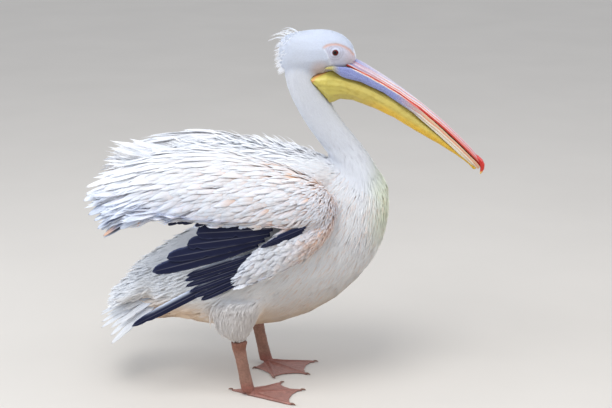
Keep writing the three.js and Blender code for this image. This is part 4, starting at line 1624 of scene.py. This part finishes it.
class PELICAN_OT_secondaries(bpy.types.Operator):
    """Build the secondaries and the long drooping tertials of both wings"""

    bl_idname = "pelican.secondaries"
    bl_label = "Secondaries and tertials"

    def execute(self, context):
        rng = np.random.default_rng(42)
        p = settings("plumage")
        for name, side in SIDES.items():
            feathers = []
            for i in range(SECONDARIES):
                s = i / (SECONDARIES - 1)
                slip, hang = rng.uniform(-12, 8), rng.uniform(-6, 6)
                tip = at(-104 - 164 * s + slip, side * (174 - 6 * s), 433 + 8 * s + hang)
                root = at(-34 - 164 * s, side * (167 - 5 * s), 470 + 8 * s)
                feathers.append(
                    vane(root, tip, (0, side, -0.15), 8.6 * MM, rng, sag=1 * MM, point=0.5,
                         tilt=side * 0.1, root_width=0.7)
                )

            def eaves(points, grid, i):
                dark = dark_tint(points, grid, i)
                pale = plain(p.cool, len(points))
                edge = ease(grid[:, 1], 0.45, 0.7) * (i % 3 < 2 if i > 6 else 0.1)
                return pale * (1 - edge[:, None]) + dark * edge[:, None]

            add_vanes("secondaries_" + name, feathers, eaves)

            feathers = []
            for i, row in enumerate(between(TERTIALS[name], 26)[2:]):
                root, tip = ends(row, side)
                tip = tip - (tip - root) * rng.uniform(0, 0.3) * (i % 4 > 0)
                tip = tip + rng.normal(0, 3.5, 3) * MM
                feathers.append(
                    vane(root, tip, (0.15, 0.9 * side, 0.5), rng.uniform(7, 13) * MM, rng,
                         sag=(12 + rng.uniform(-4, 5)) * MM, lead=0.85, point=0.5,
                         tilt=side * rng.uniform(0.0, 0.25), notches=1)
                )

            def trailing(points, grid, i):
                across, along = grid[:, 0] * 2 - 1, grid[:, 1]
                tone = plain(p.white, len(points))
                tone = mix(tone, p.cool, np.full(len(points), 0.9 * ease(i, 0, 9)))
                tone = tone * (1 - 0.16 * ease(along, 0.4, 0.9))[:, None]
                smoke = ease(i, 9, 13) * ease(i, 22, 18) * (0.35 if i % 3 else 0.9)
                core = ease(np.abs(across + 0.3), 0.7, 0.2) * ease(along, 0.3, 0.6)
                core = core * ease(along, 0.98, 0.8)
                tone = mix(tone, p.flight_edge, np.clip(core * smoke, 0, 1))
                tone = mix(tone, p.flight, np.clip(core, 0, 1) * 0.85 * (i in (12, 16)))
                tone = mix(tone, p.stain, 0.8 * ease(along, 0.72, 0.95) * (i in (15, 19)))
                return mix(tone, p.shaft, 0.25 * bell(across, 0, 0.08))

            add_vanes("tertials_" + name, feathers, trailing)
        return {"FINISHED"}


class PELICAN_OT_tail(bpy.types.Operator):
    """Build the pointed white tail feathers"""

    bl_idname = "pelican.tail"
    bl_label = "Tail"

    def execute(self, context):
        rng = np.random.default_rng(43)
        p = settings("plumage")
        feathers = []
        lower, upper = 15, 9
        pivot = at(-246, 0, 256)
        for i in range(lower + upper):
            short = i >= lower  # the upper feathers are laid over the others and shorter
            s = 2 * (i - lower) / (upper - 1) - 1 if short else 2 * i / (lower - 1) - 1
            turn = math.radians(26 * s)
            droop = math.radians(24 + 11 * s * s - 8 * short)
            out = np.array([
                -math.cos(turn) * math.cos(droop),
                math.sin(turn),
                -math.cos(turn) * math.sin(droop) - 0.08 * s * s,
            ])
            reach = (222 - 46 * short + 8 * s * s) * rng.uniform(0.88, 1.0) * MM
            feathers.append(
                vane(pivot + out * 45 * MM, pivot + out * reach, (-0.45, 0, 0.89), 9.4 * MM, rng,
                     sag=4 * MM, point=0.42, tilt=-0.8 * s + rng.normal(0, 0.12), notches=1)
            )

        def pale(points, grid, i):
            across, along = grid[:, 0] * 2 - 1, grid[:, 1]
            tone = plain(p.white, len(points))
            tone = mix(tone, p.cool, 0.5 * ease(along, 0.85, 0.3))
            # Painted shade: the feathers darken by about a quarter towards their tips, against the
            # light of the lamp behind.
            tone = tone * (1 - 0.26 * ease(along, 0.3, 0.8))[:, None]
            return mix(tone, p.shaft, 0.35 * bell(across, 0, 0.08))

        add_vanes("tail", feathers, pale)
        return {"FINISHED"}


class PELICAN_OT_crest(bpy.types.Operator):
    """Build the thin curved plumes of the nape"""

    bl_idname = "pelican.crest"
    bl_label = "Crest"

    def execute(self, context):
        rng = np.random.default_rng(44)
        surface = made["surface"]
        wisps, nape = 16, 180
        count = wisps + nape
        long = np.arange(count) < wisps
        lock = np.arange(count) % 7 / 6
        height = np.where(long, 0.7 + 0.3 * lock, rng.uniform(0, 0.85, count))
        x = np.interp(height, [0, 0.4, 0.7, 1], [10, 3, 10, 34]) + rng.normal(0, 1.6, count)
        z = np.interp(height, [0, 0.4, 0.7, 1], [758, 790, 824, 846]) + rng.normal(0, 1.6, count)
        stray = rng.normal(0, 1, count) * np.where(long, 1, 9)
        y = np.where(long, 8 * np.sin(lock * 17), 0) + stray
        roots = np.array([at(*p) for p in zip(x, y, z)])
        places, triangles = surface.nearest(roots)
        normal = unit(surface.at(surface.normals, triangles))
        taper = np.array([0.8, 1, 1, 0.9, 0.75, 0.55, 0.35, 0])
        rows = len(taper)
        up = np.where(long, ease(height, 0.6, 0.85), 0)
        reach = np.where(long, 40, 17) * rng.uniform(0.75, 1.15, count) * MM
        level = np.zeros(count)
        start = unit(np.stack([level - 0.7, y / 30, 1.05 * up - 0.15], 1))
        droop = rng.uniform(-0.25, 0.25, count) * np.where(long, 0.5, 1)
        droop += np.where(long, -0.5, -0.62)
        fall = unit(np.stack([level - 0.8, y / 30, droop], 1))
        centre = [places - normal * 0.8 * MM]
        for t in np.linspace(0, 1, rows)[1:]:
            way = unit(start * (1 - t) + fall * t)
            centre.append(centre[-1] + way * (reach / (rows - 1))[:, None])
        centre = np.stack(centre, 1)
        sideways = np.tile([0.0, 1.0, 0.0], (count, rows, 1)) + 0.4 * normal[:, None]
        half = np.where(long, 1.3, 0.8) * rng.uniform(0.7, 1.2, count) * MM
        half = half[:, None] * taper
        tone = np.tile(settings("plumage").white[:], (count, rows, 1))
        mesh = blades(
            "crest_plumes", centre, sideways, half, half * 0.6, LIGHT_RING, tone,
            bake_places(places, normal),
        )
        add_piece("crest_plumes", mesh, made["fine_plumage"], ["crest"])
        return {"FINISHED"}


# ---- bill ------------------------------------------------------------------------------------
# Lines seen from the side, (x, z) in the bird's own mm: where the closed mouth runs, the edge
# that the lower mandible runs out to behind the gape, and the rear end and bottom of the pouch.
MOUTH = [
    (112, 781), (139, 776), (173, 758), (196, 746), (219, 733), (242, 719), (265, 705), (288, 688),
    (312, 672), (335, 653), (359, 634), (382, 613), (406, 590), (430, 566), (449, 544), (470, 519),
]
GAPE = [(92, 768), (112, 772), (145, 764)]
POUCH_REAR = [(106, 765), (93, 757), (70, 748), (64, 738)]
POUCH_BOTTOM = [
    (58, 736), (84, 706), (106, 681), (140, 694), (178, 681), (234, 659), (284, 628), (346, 593),
    (390, 566), (444, 528),
]


def along_line(line, x):
    """How high a line is at x."""
    xs, zs = zip(*line)
    return np.interp(x, xs, zs)


def bill_places(points):
    """How far along the bill points lie (0 gape to 1 tip), and how high over the mouth in mm."""
    x, _, z = bird(points).T
    over = (z - along_line(MOUTH, x)) * 0.82
    return (x - 112) / 350, over


def sculpted(node, cell, rounds):
    """One CAD node as a smooth closed surface of fine triangles."""
    bm = voxelled(merged([node], 0.12 * MM), cell, rounds)
    bmesh.ops.triangulate(bm, faces=bm.faces)
    return bm


class PELICAN_OT_bill(bpy.types.Operator):
    """Build both mandibles and the hooked nail"""

    bl_idname = "pelican.bill"
    bl_label = "Bill"

    def execute(self, context):
        cell = settings("bill").cell
        upper = sculpted("bill_upper", cell, 14)
        self.shape_upper(upper)
        self.finish(upper, "upper_mandible", "bill_upper", self.upper_material(), ["bill_upper"])
        lower = sculpted("bill_lower", cell, 8)
        self.shape_lower(lower)
        self.finish(lower, "lower_mandible", "bill_lower", self.lower_material(), ["bill_lower"])
        nail = sculpted("bill_nail", cell * 0.7, 8)
        self.finish(nail, "nail", "bill_nail", self.nail_material(), ["bill_nail"])
        return {"FINISHED"}

    def finish(self, bm, name, slot, material, replaced):
        """Adds a piece of the bill, with the numbers that its bands of colour follow."""
        along, over = bill_places(get_points(bm))
        mesh = mesh_of(bm, name)
        set_number(mesh, "Along", along)
        set_number(mesh, "Over", over)
        add_piece(name, mesh, material, replaced)

    def shape_upper(self, bm):
        """A rounded culmen between two grooves, and the sharp rim of the mouth."""
        points = get_points(bm)
        normals = get_normals(bm)
        y = bird(points)[:, 1]
        along, over = bill_places(points)
        top = ease(normals[:, 2], 0.1, 0.7)
        ridge = bell(y, 0, 3.6) * 1.3
        groove = bell(np.abs(y), 7.2, 2.0) * 0.9
        fade = ease(along, 0.02, 0.12) * ease(along, 0.99, 0.9)
        rim = bell(over, 1.5, 1.6) * 0.7 * (np.abs(y) > 9)
        lines = 0.14 * np.sin(over * 2.6 + y * 0.6)
        push = top * fade * (ridge - groove) + rim * fade + lines * fade
        set_points(bm, points + normals * (push * MM)[:, None])
        bm.normal_update()

    def shape_lower(self, bm):
        """Fine lines and pebbled skin, a rim over the pouch, and a sharp edge to the mouth
        that runs out behind the gape."""
        points = get_points(bm)
        normals = get_normals(bm)
        x = bird(points)[:, 0]
        along, over = bill_places(points)
        fine = 0.22 * np.sin(over * 2.0 + 1.4 * noise(points, 0.02, 6)) * ease(along, 0.45, 0.6)
        pebble = 0.22 * noise(points, 0.0045, 7) * ease(along, 0.55, 0.45)
        rim = 0.25 * bell(over, -13.5, 2.2)
        points = points + normals * ((fine + pebble + rim) * MM)[:, None]
        end = ease(along, 0.09, -0.05)
        edge = along_line(GAPE, x) * MM
        points[:, 2] += (edge - points[:, 2]) * 0.8 * end
        lift = 1.5 + 3.6 * ease(along, 0.34, 0.1) + 2.2 * ease(along, 0.35, 0.55)
        lift = (lift + 1.5 * ease(along, 0.7, 0.85)) * (1 - 0.7 * end)
        points[:, 2] += lift * MM * ease(normals[:, 2], 0.0, 0.4) * ease(along, 1.0, 0.96)
        set_points(bm, points)
        bm.normal_update()

    def upper_material(self):
        p = settings("bill")
        s = Shader("upper mandible", roughness=0.36, coat_weight=0.15, coat_roughness=0.3)
        along, over = s.attribute("Along"), s.attribute("Over")
        wander = s.math("MULTIPLY_ADD", s.noise(26.0, 3.0), 1.6, -0.8)
        high = s.math("ADD", over, wander)
        height = s.math("DIVIDE", high, 18.0)
        culmen, line, slate = p.culmen[:], p.line[:], p.slate[:]
        pale = tuple(0.5 * a + 0.5 * b for a, b in zip(culmen, slate))
        base = [
            (0.0, p.tomium[:]), (0.13, p.tomium[:]), (0.17, culmen), (0.34, slate), (0.44, slate),
            (0.48, line), (0.53, culmen), (0.66, slate), (0.74, line), (0.80, slate), (1.0, slate),
        ]
        beyond = [
            (0.0, p.tomium[:]), (0.17, p.tomium[:]), (0.22, culmen), (0.36, line), (0.41, culmen),
            (0.55, pale), (0.60, line), (0.64, culmen), (0.80, pale), (1.0, culmen),
        ]
        at_base = s.ramp(height, base)
        at_tip = s.ramp(height, beyond)
        turn = s.ramp(along, [(0.1, (0, 0, 0)), (0.34, (1, 1, 1))])
        tone = s.blend("MIX", turn, at_base, at_tip)
        red = s.ramp(along, [(0.62, (0, 0, 0)), (0.95, (0.75,) * 3)])
        streak = s.ramp(height, [(0.3, (1, 1, 1)), (0.75, (0.15,) * 3)])
        amount = s.math("MULTIPLY", red, streak)
        tone = s.blend("MIX", amount, tone, p.tomium[:])
        fleck = s.ramp(s.noise(300.0, 4.0), [(0.35, (0.84, 0.82, 0.84)), (0.65, (1.0,) * 3)])
        s.wire("Base Color", s.blend("MULTIPLY", 1.0, tone, fleck))
        fine = s.math("SINE", s.math("MULTIPLY", high, 5.0))
        s.bump(s.math("MULTIPLY_ADD", fine, 0.4, s.noise(500.0, 3.0)), 0.35, 0.0004)
        return s.material

    def lower_material(self):
        p = settings("bill")
        s = Shader("lower mandible", roughness=0.42, coat_weight=0.1, coat_roughness=0.4)
        along, over = s.attribute("Along"), s.attribute("Over")
        wander = s.math("MULTIPLY_ADD", s.noise(40.0, 4.0), 3.0, -1.5)
        depth = s.math("DIVIDE", s.math("SUBTRACT", 1.0, s.math("ADD", over, wander)), 20.0)
        horn, rim, slate = p.horn[:], p.rim[:], p.slate[:]
        tan = tuple(c * 0.86 for c in horn)
        base = [(0.0, p.line[:]), (0.07, rim), (0.16, slate), (0.9, slate), (1.0, slate)]
        beyond = [
            (0.0, p.tomium[:]), (0.14, p.tomium[:]), (0.2, horn), (0.3, tan), (0.4, horn),
            (0.48, p.line[:]), (0.54, horn), (0.66, rim), (0.78, tan), (0.9, rim),
        ]
        turn = s.ramp(s.math("ADD", along, s.math("MULTIPLY", wander, 0.02)),
                      [(0.4, (0, 0, 0)), (0.6, (1, 1, 1))])
        tone = s.blend("MIX", turn, s.ramp(depth, base), s.ramp(depth, beyond))
        gape = s.ramp(s.math("ADD", along, 0.06), [(0.045, (0.9,) * 3), (0.1, (0.0,) * 3)])
        tone = s.blend("MIX", gape, tone, p.pouch_rear[:])
        pebble = s.ramp(s.noise(480.0, 2.0), [(0.4, (0.68, 0.7, 0.8)), (0.58, (1.0,) * 3)])
        rough = s.ramp(along, [(0.45, (1.0,) * 3), (0.62, (0.25,) * 3)])
        s.wire("Base Color", s.blend("MULTIPLY", rough, tone, pebble))
        s.bump(s.noise(600.0, 3.0), 0.4, 0.0006)
        return s.material

    def nail_material(self):
        p = settings("bill")
        s = Shader("bill nail", roughness=0.28, coat_weight=0.3, coat_roughness=0.2)
        z = s.node("SeparateXYZ", {"Vector": s.place()}).outputs["Z"]
        low = float(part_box("bill_nail")[0].z)
        height = s.math("DIVIDE", s.math("SUBTRACT", z, low), 0.03)
        height = s.math("MULTIPLY_ADD", s.noise(200.0, 2.0), 0.2, height)
        tone = s.ramp(height, [(0.22, p.nail_tip[:]), (0.42, p.nail[:])])
        s.wire("Base Color", tone)
        s.bump(s.noise(400.0, 3.0), 0.2, 0.0004)
        return s.material


class PELICAN_OT_pouch(bpy.types.Operator):
    """Build the bare yellow pouch under the bill"""

    bl_idname = "pelican.pouch"
    bl_label = "Pouch"

    def execute(self, context):
        p = settings("bill")
        bm = sculpted("pouch", p.cell * 1.15, 40)
        points = get_points(bm)
        normals = get_normals(bm)
        x, _, z = bird(points).T
        along, over = bill_places(points)
        hang = noise(points, 0.05, 2)
        folds = np.sin(over * 0.72 + 1.6 * hang + 2.2 * along)
        fine = np.sin(over * 1.9 + 3.0 * noise(points, 0.03, 4) - 3 * along)
        low = ease(over, -16, -34)
        relief = 0.2 * folds + 0.08 * fine + 0.22 * noise(points, 0.009, 11)
        relief *= 0.45 + 0.55 * low
        relief += 3.2 * ease(over, -26, -15) * (0.4 + 0.6 * ease(along, 0.3, 0.5))
        relief += 1.8 * bell(over, -17, 4) * ease(along, 0.02, 0.12)
        points = points + normals * (relief * MM)[:, None]
        set_points(bm, points)
        bm.normal_update()
        mesh = mesh_of(bm, "pouch_skin")
        rise = z - along_line(POUCH_BOTTOM, x)
        tone = plain(p.pouch, len(x))
        tone = mix(tone, p.pouch_edge, ease(rise, 26, 6) * ease(x, 150, 240) * 0.85)
        tone = mix(tone, p.pouch_rear, ease(x, 170, 92) * 0.85)
        shade = ease(over, -20, -12) * ease(x, 330, 250)
        tone = mix(tone, np.array(p.pouch_rear[:]) * 0.82, shade * 0.25)
        rear = distance_to_line(x, z, POUCH_REAR)
        tone = mix(tone, p.line, ease(rear, 4, 1) * 0.5)
        tone = tone * (1 + 0.06 * hang + 0.05 * noise(points, 0.012, 12))[:, None]
        set_tint(mesh, tone)
        add_piece("pouch_skin", mesh, self.material(), ["pouch"])
        return {"FINISHED"}

    def material(self):
        s = Shader("pouch skin", roughness=0.42, coat_weight=0.08, coat_roughness=0.4)
        tint = s.attribute("Tint", "Color")
        taller = {"Vector": s.place(), "Scale": (1.0, 1.0, 1.6)}
        stretched = s.node("Mapping", taller).outputs["Vector"]
        vein = s.noise(70.0, 5.0, stretched, 0.62)
        cast = s.ramp(vein, [(0.38, (0.90, 0.86, 0.74)), (0.5, (1.0,) * 3), (0.7, (0.97,) * 3)])
        s.wire("Base Color", s.blend("MULTIPLY", 1.0, tint, cast))
        s.bump(s.math("ADD", vein, s.noise(520.0, 3.0)), 0.4, 0.0007)
        return s.material


# ---- eyes and claws ----------------------------------------------------------------------------
CORNEA = 0.0006  # how far the cornea bulges out of the eyeball, in metres


class PELICAN_OT_eyes(bpy.types.Operator):
    """Build both eyeballs, each with its cornea"""

    bl_idname = "pelican.eyes"
    bl_label = "Eyes"

    def execute(self, context):
        p = settings("eye")
        material = self.material()
        for name, side in SIDES.items():
            bm = bmesh.new()
            bmesh.ops.create_uvsphere(bm, u_segments=48, v_segments=32, radius=p.radius)
            gaze = Vector((-0.09, side, 0.0)).normalized()
            turn = gaze.to_track_quat("Z", "Y").to_matrix()
            middle = Vector(eye_middle(side))
            off_pupil = []
            for v in bm.verts:
                off = math.acos(max(-1, min(1, v.co.z / p.radius)))
                off_pupil.append(off * p.radius / MM)
                v.co.z += CORNEA * math.exp(-((off / 0.42) ** 2))
                v.co = middle + turn @ v.co
            mesh = mesh_of(bm, "eyeball_" + name)
            set_number(mesh, "Off", off_pupil)
            add_piece("eyeball_" + name, mesh, material, ["eye_" + name])
        return {"FINISHED"}

    def material(self):
        p = settings("eye")
        s = Shader("eye", roughness=0.08, coat_weight=0.12, coat_roughness=0.03,
                   specular_ior_level=0.25)
        off = s.math("DIVIDE", s.attribute("Off"), 10.0)
        iris = p.iris[:]
        deep = tuple(c * 0.35 for c in iris)
        rings = [(0.38, p.pupil[:]), (0.43, deep), (0.52, iris), (0.63, iris), (0.76, p.pupil[:])]
        tone = s.ramp(off, rings)
        ray = s.ramp(s.noise(900.0, 3.0), [(0.3, (0.7,) * 3), (0.7, (1.0,) * 3)])
        s.wire("Base Color", s.blend("MULTIPLY", 1.0, tone, ray))
        return s.material


class PELICAN_OT_claws(bpy.types.Operator):
    """Build the eight claws"""

    bl_idname = "pelican.claws"
    bl_label = "Claws"

    def execute(self, context):
        names = [n for n in NODES if n.startswith("claw_")]
        bm = merged(names, 0.1 * MM)
        bm = with_modifier(bm, "SUBSURF", levels=2, render_levels=2)
        bm.normal_update()
        s = Shader("claw", roughness=0.38, coat_weight=0.15, coat_roughness=0.3)
        tone = settings("skin").claw[:]
        pale = tuple(min(1, c * 2.2) for c in tone)
        s.wire("Base Color", s.ramp(s.noise(160.0, 3.0), [(0.3, tone), (0.75, pale)]))
        s.bump(s.noise(700.0, 2.0), 0.3, 0.0003)
        add_piece("claws", mesh_of(bm, "claws"), s.material, names)
        return {"FINISHED"}


# ---- stage -------------------------------------------------------------------------------------
class PELICAN_OT_materials(bpy.types.Operator):
    """Make the plumage materials that several pieces share"""

    bl_idname = "pelican.materials"
    bl_label = "Plumage materials"

    def execute(self, context):
        # roughness, sheen, glow, strength and number of the barbs
        made["fine_plumage"] = plumage_material("fine plumage", 0.8, 0.15, 0.35, 0.0, 0)
        made["plumage"] = plumage_material("covert plumage", 0.75, 0.15, 0.35, 0.2, 24)
        made["flight"] = plumage_material("flight plumage", 0.6, 0.0, 0.0, 0.25, 60)
        return {"FINISHED"}


# Each lamp's place from the bird's middle, how wide its disk is, and its colour.
LAMPS = {
    "key": ((-0.6, -1.5, 3.2), 2.0, (1.0, 0.985, 0.96)),
    "fill": ((3.0, -0.9, 1.6), 2.2, (0.95, 0.97, 1.0)),
    "rear": ((-2.9, -0.9, 0.9), 2.2, (0.86, 0.93, 1.0)),
}
SKY_TONE = (0.90, 0.94, 1.0, 1)
FLOOR_RADIUS = 14.0
CAMERA_PLACE = (AHEAD + 0.05, -3.0, 1.3)  # off the bird's right side and a little over it
CAMERA_DOWN = 16  # degrees
CAMERA_LENS = 77.88  # mm, on a sensor of 36


class PELICAN_OT_stage(bpy.types.Operator):
    """Set out the floor, the lamps and the camera"""

    bl_idname = "pelican.stage"
    bl_label = "Stage"

    def execute(self, context):
        self.lay_floor(context.scene)
        self.light(context.scene)
        self.set_camera(context.scene)
        context.scene.view_settings.view_transform = "Standard"
        return {"FINISHED"}

    def lay_floor(self, scene):
        p = settings("stage")
        bm = bmesh.new()
        bmesh.ops.create_circle(bm, cap_ends=True, segments=96, radius=FLOOR_RADIUS)
        mesh = bpy.data.meshes.new("floor")
        bm.to_mesh(mesh)
        bm.free()
        floor = bpy.data.objects.new("floor", mesh)
        scene.collection.objects.link(floor)
        s = Shader("floor", roughness=0.9, specular_ior_level=0.1)
        cast = s.ramp(s.noise(2.2, 4.0), [(0.3, (0.965,) * 3), (0.7, (1.0,) * 3)])
        seen = s.node("LightPath").outputs["Is Camera Ray"]
        tone = s.blend("MIX", seen, p.ground[:], p.floor[:])
        s.wire("Base Color", s.blend("MULTIPLY", 1.0, tone, cast))
        mesh.materials.append(s.material)

    def light(self, scene):
        """Even light from all round, and three soft lamps turned to the bird's middle."""
        p = settings("stage")
        world = bpy.data.worlds.new("even light")
        scene.world = world
        world.use_nodes = True
        background = world.node_tree.nodes["Background"]
        background.inputs["Color"].default_value = SKY_TONE
        background.inputs["Strength"].default_value = p.sky
        low, high = (Vector(v) for v in CAD_BOX)
        middle = (low + high) / 2
        for name, (place, size, tone) in LAMPS.items():
            data = bpy.data.lights.new(name, "AREA")
            data.shape = "DISK"
            data.size = size
            data.energy = getattr(p, name)
            data.color = tone
            lamp = bpy.data.objects.new(name, data)
            scene.collection.objects.link(lamp)
            lamp.location = middle + Vector(place)
            lamp.rotation_euler = (middle - lamp.location).to_track_quat("-Z", "Y").to_euler()

    def set_camera(self, scene):
        data = bpy.data.cameras.new("camera")
        data.lens = CAMERA_LENS
        data.sensor_width = 36.0
        camera = bpy.data.objects.new("camera", data)
        scene.collection.objects.link(camera)
        camera.location = CAMERA_PLACE
        camera.rotation_euler = (math.radians(90 - CAMERA_DOWN), 0, 0)
        scene.camera = camera


OPERATORS = [
    PELICAN_OT_materials,
    PELICAN_OT_skin,
    PELICAN_OT_eyes,
    PELICAN_OT_bill,
    PELICAN_OT_pouch,
    PELICAN_OT_claws,
    PELICAN_OT_coat_head,
    PELICAN_OT_coat_neck,
    PELICAN_OT_coat_breast,
    PELICAN_OT_coat_thighs,
    PELICAN_OT_coat_mantle,
    PELICAN_OT_scapulars,
    PELICAN_OT_coat_wings,
    PELICAN_OT_coat_tail,
    PELICAN_OT_primaries,
    PELICAN_OT_secondaries,
    PELICAN_OT_tail,
    PELICAN_OT_crest,
    PELICAN_OT_stage,
]


class VIEW3D_PT_pelican(bpy.types.Panel):
    """Pieces of the pelican, in the order they are built"""

    bl_label = "Standing Pelican"
    bl_idname = "VIEW3D_PT_pelican"
    bl_space_type = "VIEW_3D"
    bl_region_type = "UI"
    bl_category = "Pelican"

    def draw(self, context):
        column = self.layout.column()
        for operator in OPERATORS:
            column.operator(operator.bl_idname)


CLASSES = [*SETTINGS.values(), *OPERATORS, VIEW3D_PT_pelican]


def register():
    for cls in CLASSES:
        bpy.utils.register_class(cls)
    for name, group in SETTINGS.items():
        setattr(bpy.types.Scene, name, PointerProperty(type=group))


def unregister():
    for name in SETTINGS:
        delattr(bpy.types.Scene, name)
    for cls in reversed(CLASSES):
        bpy.utils.unregister_class(cls)


def main():
    register()
    for operator in OPERATORS:
        group, name = operator.bl_idname.split(".")
        result = getattr(getattr(bpy.ops, group), name)()
        if result != {"FINISHED"}:
            raise RuntimeError("could not build " + operator.bl_label)


if __name__ == "__main__":
    main()
